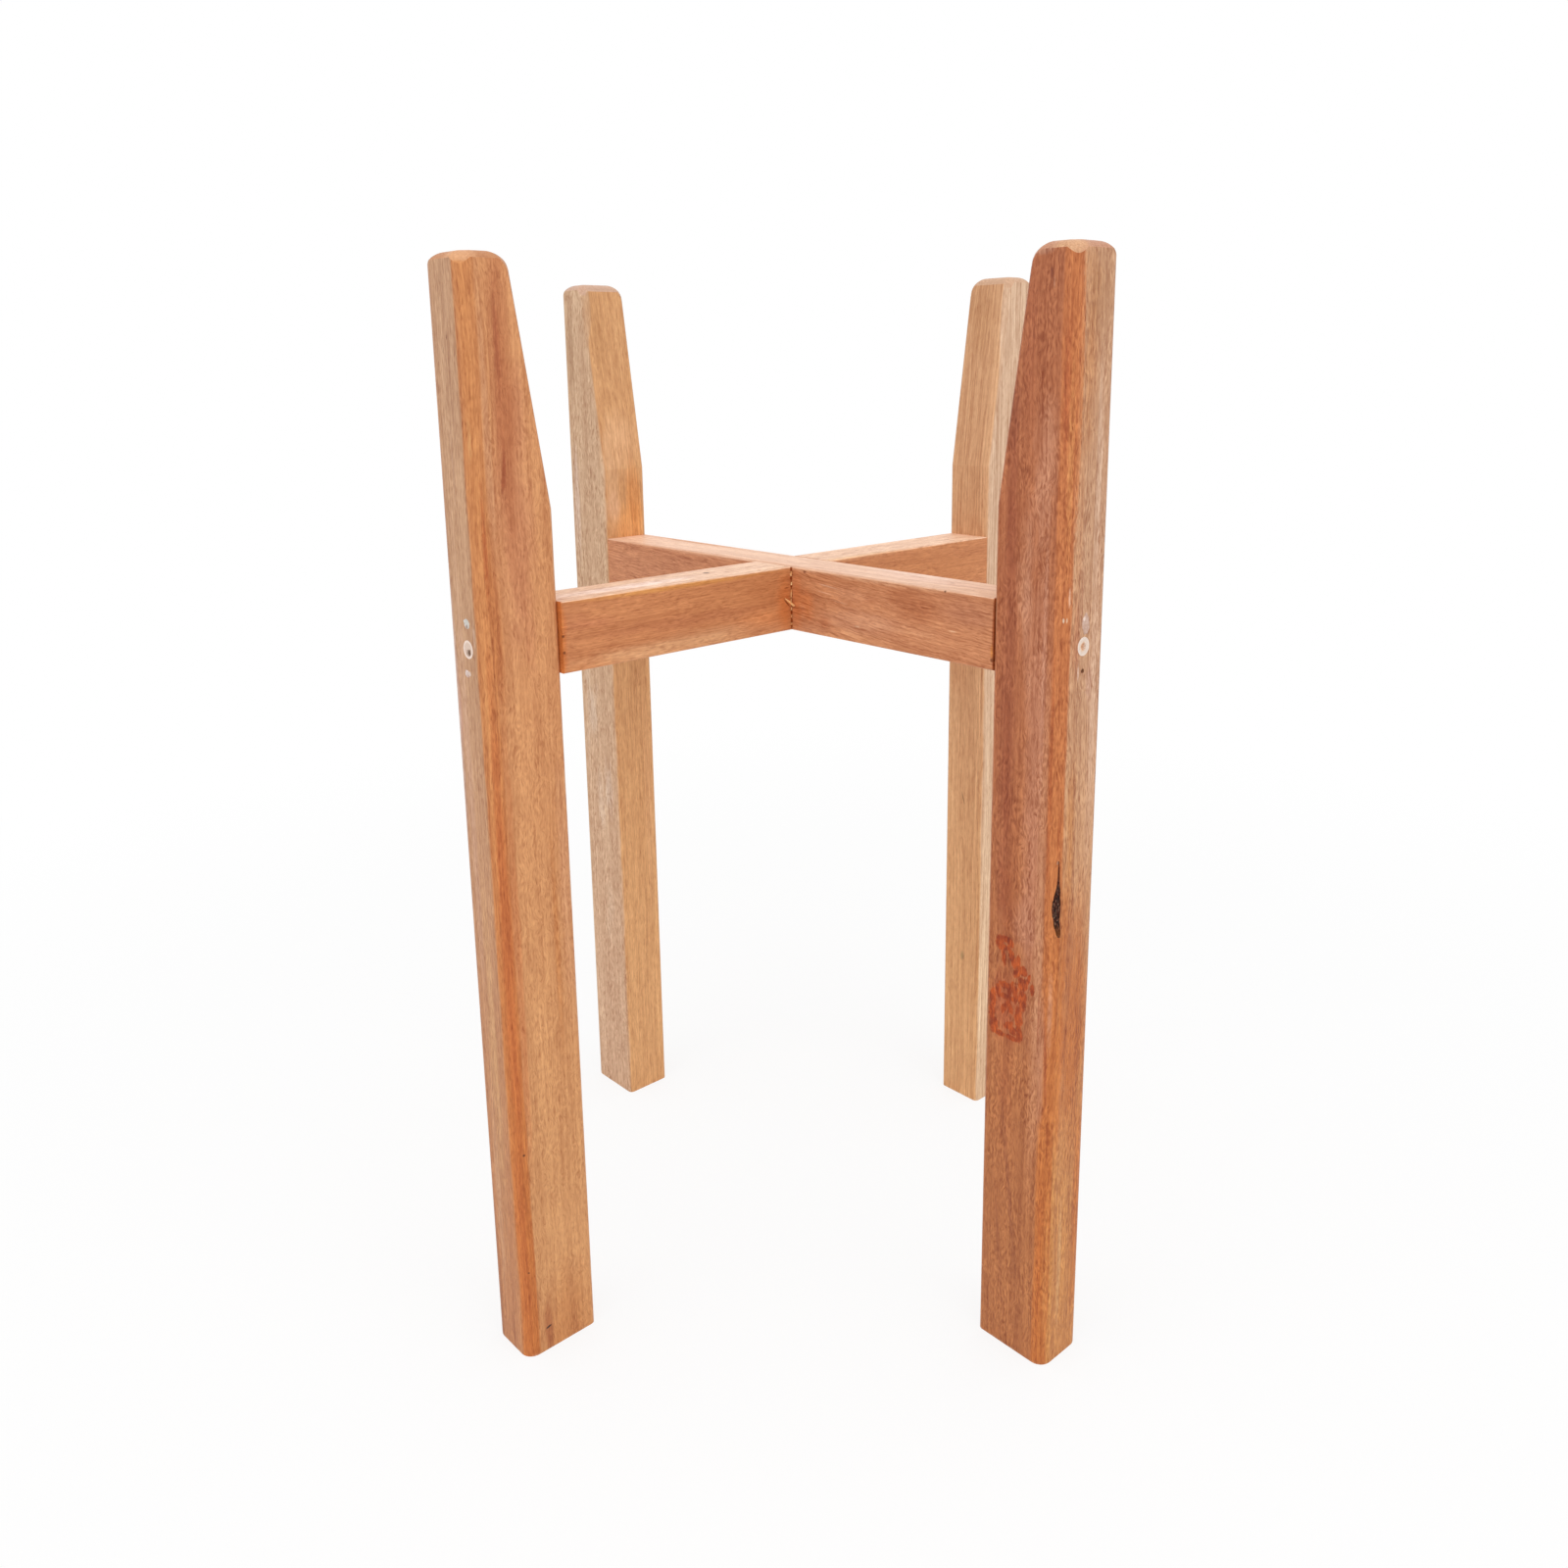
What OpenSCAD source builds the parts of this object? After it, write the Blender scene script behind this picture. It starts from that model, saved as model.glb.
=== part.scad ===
// Plant stand: four upright hardwood legs on the ends of two half-lapped cross rails.
// The origin is on the floor, in the middle between the legs, with Z up. The lower rail runs
// along X from the front left leg (-X) to the back right leg (+X), and the upper rail runs
// along Y from the front right leg (-Y) to the back left leg (+Y).

/* [Legs] */
// Height of the legs
leg_height = 530; // [500:5:700]
// Width of a leg, across the rail that it holds
leg_w = 30; // [28:1:40]
// Depth of a leg, from its inner face to its outer face
leg_depth = 40; // [34:1:60]
// Depth left at the top of a leg, where its inner face has sloped back
leg_top_depth = 24; // [20:1:32]
// Height above the rails at which the inner face starts to slope back
slope_rise = 42; // [20:1:60]
// Radius on the two outer upright corners
outer_corner_r = 6.5; // [3:0.5:9]
// Radius on the two inner upright corners
inner_corner_r = 2.8; // [1:0.2:4]
// How far the front left leg stands off the line of its rail
front_left_leg_step = 2.5; // [0:0.5:4]

/* [Crown] */
// Radius of the round on the top of a leg
crown_r = 9; // [7:0.5:12]
// How far the round runs in from each face, less than its radius so that it starts on an arris
crown_reach = 7; // [4:0.5:7]
// Radius of the round on each top corner
corner_crown_r = 10; // [8:0.5:12]
// How far below the top that round starts on the corner
corner_drop = 6; // [4:0.5:7]

/* [Cross] */
// Clear width between two facing legs, where the pot stands
pot_width = 302; // [240:1:420]
// Height of the rails' top faces, where the pot rests
rail_top = 378; // [300:1:420]
// Width of a rail
rail_w = 29; // [24:0.5:34]
// Height of a rail
rail_h = 33.5; // [30:0.5:45]
// Radius on the rails' long edges
rail_edge_r = 0.8; // [0.4:0.1:2]
// How far the crossing lies off the middle of the lower rail
lower_rail_shift = 5; // [-8:0.5:8]
// How far the crossing lies off the middle of the upper rail
upper_rail_shift = -1.5; // [-8:0.5:8]
// Clearance on each side of a rail in the other rail's notch
lap_clearance = 0.1; // [0.05:0.05:0.4]

/* [Screws] */
// Height of the screws, measured down from the rails' top faces
screw_drop = 18; // [15:0.5:20]
// Length of a screw
screw_length = 65; // [60:1:75]
// Diameter of a screw's head
screw_head_d = 8; // [7:0.1:9]
// Diameter of a screw's plain shank
screw_shank_d = 4.2; // [3.5:0.1:5]
// Diameter of a screw's threaded end, measured at the root of the thread
screw_root_d = 3; // [2.4:0.1:3.4]
// Depth of the counterbore over a screw
counterbore_depth = 12; // [6:1:16]
// Clearance round a screw's head and shank in the leg, all round
screw_clearance = 0.2; // [0.1:0.05:0.4]
// How far the front right screw lies off the middle of its leg
front_right_screw_step = 2.5; // [0:0.5:4]

/* [Brads] */
// Height of each brad above or below the screw
brad_rise = 11; // [8:0.5:12]
// Length of a brad
brad_length = 60; // [50:1:64]
// Diameter of a brad
brad_d = 1.6; // [1.2:0.1:1.8]
// Diameter of a brad's head
brad_head_d = 2.2; // [2:0.1:3]
// How far a brad's head is punched in below the surface
brad_set = 2.5; // [1:0.5:4]

/* [Filler] */
// Width of the pit where the filler over a screw has sunk
pit_d = 3.4; // [2:0.2:4]
// Depth of that pit
pit_depth = 2; // [0.4:0.1:3]
// How far below the middle of its filler the front left pit lies
front_left_pit_drop = 1.6; // [0:0.1:2]

/* [Gum vein] */
// Height of the middle of the gum vein in the front right leg
gum_z = 244; // [200:2:300]
// Length of the opening that the vein leaves, up the corner
gum_length = 38; // [20:1:60]
// Width of that opening at its widest
gum_w = 3.4; // [2:0.2:5]
// Depth of that opening
gum_depth = 2.2; // [1:0.1:3]

/* [Hidden] */
$fn = 48;

// The four arms of the cross, as turns about Z from +X
BACK_RIGHT = 0;
BACK_LEFT = 90;
FRONT_LEFT = 180;
FRONT_RIGHT = 270;

// Where the rails cross
cross_x = lower_rail_shift;
cross_y = upper_rail_shift;
// Half the clear width is also half a rail's length: its ends butt on the legs
reach = pot_width / 2;
// Distance of each arm's centre line from the origin, to the left of someone looking out along it
function arm_side(arm) =
    arm == BACK_RIGHT ? cross_y
    : arm == BACK_LEFT ? -cross_x
    : arm == FRONT_LEFT ? -cross_y
    : cross_x;
// Sideways step of each leg and of each screw from its arm's centre line
function leg_step(arm) = arm == FRONT_LEFT ? -front_left_leg_step : 0;
function screw_step(arm) = arm == FRONT_RIGHT ? -front_right_screw_step : 0;
function pit_drop(arm) = arm == FRONT_LEFT ? front_left_pit_drop : 0;

slope_start = rail_top + slope_rise;
slope_angle = atan((leg_depth - leg_top_depth) / (leg_height - slope_start));
screw_z = rail_top - screw_drop;
head_hole_d = screw_head_d + 2 * screw_clearance;
shank_hole_d = screw_shank_d + 2 * screw_clearance;
// The countersunk head is a right-angled cone with a thin straight rim
head_rim = 0.4;
head_cone = (screw_head_d - screw_shank_d) / 2;
// The plain shank ends just inside the leg, so that only the thread enters the rail
shank_length = leg_depth - counterbore_depth - 1;
tip_length = 1.5 * screw_root_d;
head_cross_depth = 2;
head_cross_w = 1;
brad_head_h = 0.8;
// Holes run a little past what they hold
past = 1;

// ---- Legs ----
// In its own frame a leg's inner face is at x = 0 and its outer face faces +X.

// Rounds of radius r on the two corners at x, which is the low or the high end of the plan
module corner_rounds(x, r) {
    for (side = [-1, 1])
        translate([x, side * (leg_w / 2 - r)])
            circle(r);
}

// A leg's section from above, with its large outer and its small inner rounds
module leg_plan() {
    corner_rounds(inner_corner_r, inner_corner_r);
    corner_rounds(leg_depth - outer_corner_r, outer_corner_r);
    translate([0, inner_corner_r - leg_w / 2])
        square([leg_depth / 2, leg_w - 2 * inner_corner_r]);
    translate([leg_depth / 2, outer_corner_r - leg_w / 2])
        square([leg_depth / 2, leg_w - 2 * outer_corner_r]);
    translate([inner_corner_r, -leg_w / 2])
        square([leg_depth - inner_corner_r - outer_corner_r, leg_w]);
}

// The same section with square outer corners, for the cuts that slope the inner face
module inner_face_plan() {
    corner_rounds(inner_corner_r, inner_corner_r);
    translate([0, inner_corner_r - leg_w / 2])
        square([leg_depth, leg_w - 2 * inner_corner_r]);
    translate([inner_corner_r, -leg_w / 2])
        square([leg_height, leg_w]);
}

// Everything outside the inner face when it leans back by an angle from the start of the slope
module leaning_face(angle) {
    translate([0, 0, slope_start])
        rotate([0, angle, 0])
            translate([0, 0, -2 * leg_height])
                linear_extrude(4 * leg_height) inner_face_plan();
}

// Outline of a rounded crown between two faces at low and high, and all that lies below it
module crown_outline(low, high) {
    translate([-leg_height, -past])
        square([2 * leg_height, leg_height - crown_r + past]);
    translate([low + crown_reach, 0])
        square([high - low - 2 * crown_reach, leg_height]);
    for (x = [low + crown_reach, high - crown_reach])
        translate([x, leg_height - crown_r])
            circle(crown_r);
}

// The crown's round as seen from the side of the leg
module crown_from_side() {
    rotate([90, 0, 0])
        linear_extrude(2 * leg_w, center = true)
            crown_outline(leg_depth - leg_top_depth, leg_depth);
}

// The crown's round as seen from outside
module crown_from_outside() {
    rotate([90, 0, 90])
        linear_extrude(4 * leg_depth, center = true)
            crown_outline(-leg_w / 2, leg_w / 2);
}

// What a round takes off one top corner, whose upright round has radius r and its middle at x
module corner_cut(x, side, direction, r) {
    reach_in = sqrt(corner_drop * (2 * corner_crown_r - corner_drop));
    translate([x, side * (leg_w / 2 - r * (1 - cos(45))), leg_height - corner_crown_r])
        rotate([0, 0, side * direction])
            translate([-reach_in, 0, 0])
                difference() {
                    translate([0, -leg_w / 2, 0])
                        cube([leg_w, leg_w, corner_crown_r + past]);
                    rotate([90, 0, 0])
                        cylinder(r = corner_crown_r, h = leg_w + 2 * past, center = true);
                }
}

module corner_cuts() {
    outer_x = leg_depth - outer_corner_r * (1 - cos(45));
    inner_x = leg_depth - leg_top_depth + inner_corner_r * (1 - cos(45));
    for (side = [-1, 1]) {
        corner_cut(outer_x, side, 45, outer_corner_r);
        corner_cut(inner_x, side, 135, inner_corner_r);
    }
}

// Stepped hole for a countersunk screw, from the outer face through the leg
module screw_hole() {
    head_x = leg_depth - counterbore_depth;
    translate([0, 0, screw_z]) rotate([0, 90, 0]) {
        translate([0, 0, -past])
            cylinder(d = shank_hole_d, h = leg_depth + past);
        translate([0, 0, head_x - head_rim])
            cylinder(d = head_hole_d, h = counterbore_depth + head_rim + past);
        translate([0, 0, head_x - head_rim - head_cone])
            cylinder(d1 = shank_hole_d, d2 = head_hole_d, h = head_cone);
    }
}

// Holes that the two brads have made through the leg
module brad_holes() {
    for (rise = [-brad_rise, brad_rise])
        translate([0, 0, screw_z + rise]) rotate([0, 90, 0]) {
            translate([0, 0, -past])
                cylinder(d = brad_d, h = leg_depth + past);
            translate([0, 0, leg_depth - brad_set - brad_head_h])
                cylinder(d = brad_head_d, h = brad_set + brad_head_h + past);
        }
}

// Pointed opening that a gum vein leaves on the outer corner, between two shallow arcs
module gum_opening() {
    arc_r = (gum_length * gum_length / gum_w + gum_w) / 4;
    corner_y = outer_corner_r - leg_w / 2;
    translate([leg_depth - outer_corner_r, corner_y, gum_z])
        rotate([0, 0, -45])
            translate([outer_corner_r - gum_depth, 0, 0])
                rotate([90, 0, 90])
                    linear_extrude(gum_depth + past)
                        intersection_for (side = [-1, 1])
                            translate([side * (arc_r - gum_w / 2), 0])
                                circle(arc_r, $fn = 240);
}

module leg(arm) {
    fixing_y = screw_step(arm) - leg_step(arm);
    difference() {
        intersection() {
            linear_extrude(leg_height) leg_plan();
            // A face at half the lean eases the bend where the slope starts
            leaning_face(slope_angle / 2);
            leaning_face(slope_angle);
            crown_from_side();
            crown_from_outside();
        }
        corner_cuts();
        translate([0, fixing_y, 0]) {
            screw_hole();
            brad_holes();
        }
        if (arm == FRONT_RIGHT) gum_opening();
    }
}

// Puts what is drawn in a leg's frame on the end of its arm
module at_arm(arm, step) {
    rotate([0, 0, arm])
        translate([reach, arm_side(arm) + step, 0])
            children();
}

// ---- Cross rails ----

// A rail with eased long edges, centred on the origin and running along X
module rail_bar() {
    straight_w = rail_w - 2 * rail_edge_r;
    straight_h = rail_h - 2 * rail_edge_r;
    rotate([90, 0, 90])
        linear_extrude(pot_width, center = true) {
            square([rail_w, straight_h], center = true);
            square([straight_w, rail_h], center = true);
            for (side = [-1, 1], end = [-1, 1])
                translate([side * straight_w / 2, end * straight_h / 2])
                    circle(rail_edge_r);
        }
}

// Notch for the other rail, in the upper half of this one
module lap_notch() {
    notch_w = rail_w + 2 * lap_clearance;
    translate([-notch_w / 2, -rail_w / 2 - past, 0])
        cube([notch_w, rail_w + 2 * past, rail_h / 2 + past]);
}

// Pilot holes that the screw and the brads have made in the end of a rail
module end_holes(arm) {
    thread_in_rail = screw_length - (leg_depth - counterbore_depth);
    brad_in_rail = brad_length - (leg_depth - brad_set);
    translate([0, screw_step(arm), screw_z]) rotate([0, 90, 0]) {
        translate([0, 0, -thread_in_rail])
            cylinder(d = screw_root_d, h = thread_in_rail + past);
        for (rise = [-brad_rise, brad_rise])
            translate([-rise, 0, -brad_in_rail])
                cylinder(d = brad_d, h = brad_in_rail + past);
    }
}

module lower_cross_rail() {
    color("chocolate")
        difference() {
            translate([0, cross_y, rail_top - rail_h / 2])
                difference() {
                    rail_bar();
                    translate([cross_x, 0, 0]) lap_notch();
                }
            for (arm = [BACK_RIGHT, FRONT_LEFT])
                at_arm(arm, 0) end_holes(arm);
        }
}

module upper_cross_rail() {
    color("peru")
        difference() {
            translate([cross_x, 0, rail_top - rail_h / 2])
                rotate([0, 0, 90])
                    difference() {
                        rail_bar();
                        translate([cross_y, 0, 0]) mirror([0, 0, 1]) lap_notch();
                    }
            for (arm = [BACK_LEFT, FRONT_RIGHT])
                at_arm(arm, 0) end_holes(arm);
        }
}

// ---- Screws ----

// A countersunk wood screw along X, with the top of its head at x = 0 and its point towards -X
module wood_screw() {
    head_r = screw_head_d / 2;
    shank_r = screw_shank_d / 2;
    root_r = screw_root_d / 2;
    difference() {
        rotate([0, -90, 0])
            rotate_extrude()
                polygon([
                    [0, 0],
                    [head_r, 0],
                    [head_r, head_rim],
                    [shank_r, head_rim + head_cone],
                    [shank_r, shank_length],
                    [root_r, shank_length],
                    [root_r, screw_length - tip_length],
                    [0, screw_length]
                ]);
        for (turn = [0, 90])
            rotate([turn, 0, 0])
                cube([2 * head_cross_depth, head_cross_w, screw_shank_d], center = true);
    }
}

module screw(arm) {
    color("silver")
        at_arm(arm, screw_step(arm))
            translate([leg_depth - counterbore_depth, 0, screw_z])
                wood_screw();
}

// Filler over a screw's head, flush with the leg and sunk to a pit
module screw_filler(arm) {
    color("burlywood")
        at_arm(arm, screw_step(arm))
            translate([leg_depth - counterbore_depth, 0, screw_z])
                rotate([0, 90, 0])
                    difference() {
                        cylinder(d = head_hole_d, h = counterbore_depth);
                        translate([pit_drop(arm), 0, counterbore_depth - pit_depth]) {
                            cylinder(d1 = pit_d / 2, d2 = pit_d, h = pit_depth);
                            translate([0, 0, pit_depth])
                                cylinder(d = pit_d, h = past);
                        }
                    }
}

// ---- Brads ----

module brad() {
    rotate([0, -90, 0]) {
        cylinder(d = brad_head_d, h = brad_head_h);
        cylinder(d = brad_d, h = brad_length);
    }
}

module brads(arm) {
    color("dimgray")
        at_arm(arm, screw_step(arm))
            for (rise = [-brad_rise, brad_rise])
                translate([leg_depth - brad_set, 0, screw_z + rise])
                    brad();
}

// Filler over the brads' heads, at the given heights from the screw
module brad_filler(arm, rises) {
    color("wheat")
        at_arm(arm, screw_step(arm))
            for (rise = rises)
                translate([leg_depth - brad_set, 0, screw_z + rise])
                    rotate([0, 90, 0])
                        cylinder(d = brad_head_d, h = brad_set);
}

BOTH = [-brad_rise, brad_rise];
// The lower brad hole of the front right leg was left open
UPPER_ONLY = [brad_rise];

color("sandybrown") at_arm(FRONT_LEFT, leg_step(FRONT_LEFT)) leg(FRONT_LEFT);  // leg_front_left
color("coral") at_arm(FRONT_RIGHT, leg_step(FRONT_RIGHT)) leg(FRONT_RIGHT);  // leg_front_right
color("goldenrod") at_arm(BACK_LEFT, leg_step(BACK_LEFT)) leg(BACK_LEFT);  // leg_back_left
color("burlywood") at_arm(BACK_RIGHT, leg_step(BACK_RIGHT)) leg(BACK_RIGHT);  // leg_back_right
lower_cross_rail();
upper_cross_rail();
screw(FRONT_LEFT);  // screw_front_left
screw(FRONT_RIGHT);  // screw_front_right
screw(BACK_LEFT);  // screw_back_left
screw(BACK_RIGHT);  // screw_back_right
screw_filler(FRONT_LEFT);  // screw_filler_front_left
screw_filler(FRONT_RIGHT);  // screw_filler_front_right
screw_filler(BACK_LEFT);  // screw_filler_back_left
screw_filler(BACK_RIGHT);  // screw_filler_back_right
brads(FRONT_LEFT);  // brads_front_left
brads(FRONT_RIGHT);  // brads_front_right
brads(BACK_LEFT);  // brads_back_left
brads(BACK_RIGHT);  // brads_back_right
brad_filler(FRONT_LEFT, BOTH);  // brad_filler_front_left
brad_filler(FRONT_RIGHT, UPPER_ONLY);  // brad_filler_front_right
brad_filler(BACK_LEFT, BOTH);  // brad_filler_back_left
brad_filler(BACK_RIGHT, BOTH);  // brad_filler_back_right
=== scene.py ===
"""Looks of the four-legged plant stand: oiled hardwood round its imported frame. All in metres.

Inside the timber materials a board's own place is in millimetres, because grain, pores and marks
are measured that way. In a leg, X runs out from its inner face, Y across it and Z up it; in a
rail, X runs across it, Y up it and Z along it. Tables give colours as screen levels of 0 to 255,
and colour() turns them into what a socket takes.
"""
import math
from collections import namedtuple

import bmesh
import bpy
from mathutils import Euler, Matrix, Vector
from mathutils.noise import noise as value_noise


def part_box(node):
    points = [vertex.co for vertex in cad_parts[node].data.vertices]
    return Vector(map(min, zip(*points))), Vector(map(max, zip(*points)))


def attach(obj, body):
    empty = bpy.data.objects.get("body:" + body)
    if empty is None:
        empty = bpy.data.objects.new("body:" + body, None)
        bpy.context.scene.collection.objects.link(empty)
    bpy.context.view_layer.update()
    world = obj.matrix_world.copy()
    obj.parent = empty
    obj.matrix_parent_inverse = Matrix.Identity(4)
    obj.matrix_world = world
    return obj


MM = 0.001

# The camera, from the point on the floor below the rails' crossing
CAMERA_BACK = 0.6983
CAMERA_RIGHT = 0.0304
CAMERA_UP = 0.4824
CAMERA_BEARING = math.radians(-45.0) + 0.0512
CAMERA_DIP = -0.2213
CAMERA_ROLL = -0.0140
NEAREST_SEEN = 0.01
FILM_WIDTH_MM = 36.0
PHOTO_WIDTH = 1600
FOCAL_LENGTH_PX = 1335.16
LENS_CENTRE_ROW = 670.4

# Light: white walls and a white floor, and three soft lamps, each with its place, side and watts
WALL_LIGHT = 0.75
FLOOR_REACH = 6.0
FLOOR_SIDES = 96
FLOOR_WHITE = (0.93, 0.93, 0.93, 1.0)
FLOOR_SHADOW_SHARE = 0.18
FLOOR_FADE = (0.35, 1.1)
WHITE = (1.0, 1.0, 1.0, 1.0)
LAMPS = {
    "lamp_above": ((-0.2, -0.3, 1.9), 1.6, 9.0),
    "lamp_left": ((-1.7, 0.2, 1.0), 1.2, 4.0),
    "lamp_right": ((0.2, -1.7, 1.0), 1.2, 4.0),
}
LAMPS_AIM = Vector((0.0, 0.0, 0.3))

# The legs' section, from part.scad
LEG_DEPTH = 40.0
LEG_WIDTH = 30.0
SLOPE_STARTS = 420.0
SLOPE_RUN = 16.0 / 110.0

# Heights between which a leg's tones turn from those of its foot to those of its head
FOOT_TO_HEAD = (40.0, 400.0)

# Oiled wood reflects a little less than bare plastic or paint
WOOD_SHINE = 0.32


def colour(red, green, blue):
    """A screen colour of 0 to 255 as the linear colour that a socket takes."""
    def linear(level):
        level /= 255.0
        return level / 12.92 if level <= 0.04045 else ((level + 0.055) / 1.055) ** 2.4
    return (linear(red), linear(green), linear(blue), 1.0)


# ---------------------------------------------------------------- short ways to join nodes


def feed(tree, socket, value):
    """Joins a socket to a socket, or sets it to a plain value."""
    if isinstance(value, bpy.types.NodeSocket):
        tree.links.new(value, socket)
    else:
        socket.default_value = value


def put(tree, kind, inputs=None, **settings):
    """Adds a node with its settings, and feeds its inputs by name or number."""
    node = tree.nodes.new(kind)
    for name, value in settings.items():
        setattr(node, name, value)
    for name, value in (inputs or {}).items():
        feed(tree, node.inputs[name], value)
    return node


def maths(tree, operation, *values, clamp=False):
    return put(tree, "ShaderNodeMath", dict(enumerate(values)),
               operation=operation, use_clamp=clamp).outputs[0]


def vectors(tree, operation, *values):
    node = put(tree, "ShaderNodeVectorMath", dict(enumerate(values)), operation=operation)
    return node.outputs["Value" if operation in ("LENGTH", "DOT_PRODUCT") else "Vector"]


def step(tree, value, low, high, to_low=0.0, to_high=1.0):
    """A soft step: to_low up to low, to_high from high on."""
    return put(tree, "ShaderNodeMapRange",
               {"Value": value, "From Min": low, "From Max": high,
                "To Min": to_low, "To Max": to_high},
               interpolation_type="SMOOTHSTEP").outputs["Result"]


def mix(tree, share, first, second):
    """Mixes two colours: all of the second at share 1."""
    return put(tree, "ShaderNodeMix", {0: share, 6: first, 7: second}, data_type="RGBA").outputs[2]


def cover(tree, base, mask, share, tint):
    """Lays a tint over a colour, as much as share of it where the mask is 1."""
    return mix(tree, maths(tree, "MULTIPLY", mask, share), base, tint)


def noise(tree, place, detail=1.0, roughness=0.5):
    return put(tree, "ShaderNodeTexNoise", {"Vector": place, "Scale": 1.0, "Detail": detail,
                                            "Roughness": roughness}).outputs["Fac"]


def split(tree, place):
    return put(tree, "ShaderNodeSeparateXYZ", {0: place}).outputs[:]


def join(tree, x, y, z):
    return put(tree, "ShaderNodeCombineXYZ", {0: x, 1: y, 2: z}).outputs[0]


def stretched(tree, place, size):
    """A board's place in steps of size: so wide across the board, and so long along it."""
    wide, long = size
    return vectors(tree, "DIVIDE", place, (wide, wide, long))


def facing_up(tree):
    """How far the surface faces up: 1 on a level top and 0 on an upright face."""
    return split(tree, put(tree, "ShaderNodeNewGeometry").outputs["Normal"])[2]


def stand_place(tree):
    """Where a point lies in the stand, in millimetres."""
    at = put(tree, "ShaderNodeTexCoord").outputs["Object"]
    return vectors(tree, "DIVIDE", at, (MM, MM, MM))


def new_group(name, inputs, outputs):
    """A shader group with named sockets. Returns the tree, its inputs and its output node."""
    kinds = {"float": "NodeSocketFloat", "vector": "NodeSocketVector", "colour": "NodeSocketColor"}
    tree = bpy.data.node_groups.new(name, "ShaderNodeTree")
    for socket, kind in inputs.items():
        tree.interface.new_socket(socket, in_out="INPUT", socket_type=kinds[kind])
    for socket, kind in outputs.items():
        tree.interface.new_socket(socket, in_out="OUTPUT", socket_type=kinds[kind])
    return tree, tree.nodes.new("NodeGroupInput").outputs, tree.nodes.new("NodeGroupOutput")


def use(tree, group, **inputs):
    """Places a group in a material. Its outputs come back by name."""
    node = tree.nodes.new("ShaderNodeGroup")
    node.node_tree = group
    for name, value in inputs.items():
        feed(tree, node.inputs[name.replace("_", " ")], value)
    return node.outputs


# ---------------------------------------------------------------- effects that materials share


# How strongly each kind of figure shows in a face's grain
Grain = namedtuple("Grain", "Lines Fibres Mottle Waves Pores Strokes")

# How wide each kind of figure is and how long it runs along the board, in millimetres
DRIFT_SIZE = (60.0, 150.0)
WAVE_SIZE = (6.5, 13.0)
BAND_LENGTH = 330.0
LINE_SIZE = (1.1, 130.0)
FIBRE_SIZE = (0.6, 13.0)
MOTTLE_SIZE = (2.4, 10.0)
PORE_SIZE = (0.5, 3.6)
STROKE_SIZE = (0.85, 3.8)
STROKE_PATCH_SIZE = (9.0, 22.0)

# How far the growth bands drift sideways
DRIFT_REACH = (9.0, 9.0, 0.0)

# Levels of noise between which a pore opens, a stroke turns from dark to pale, and a patch fills
# with strokes, and how strong the strokes are outside such a patch and inside it
PORE_OPENS = (0.62, 0.74)
STROKE_TURNS = (0.33, 0.67)
STROKES_GATHER = (0.36, 0.62)
STROKES_APART, STROKES_GATHERED = 0.45, 1.3

# How many more pores a pale band has than a dark one, and how dark a pore is
PORES_IN_BANDS = 0.35
PORE_SHADE = -0.5

# What the grain's shade does to red, green and blue: a darker place is redder too, a paler one less
SHADE_BY_CHANNEL = (0.75, 1.1, 1.3)
DARKEST = (0.05, 0.04, 0.03)

# How far each kind of figure stands out of the surface
FIBRE_RELIEF, LINE_RELIEF, PORE_RELIEF, STROKE_RELIEF = 0.9, 0.5, -0.8, 0.05


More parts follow.
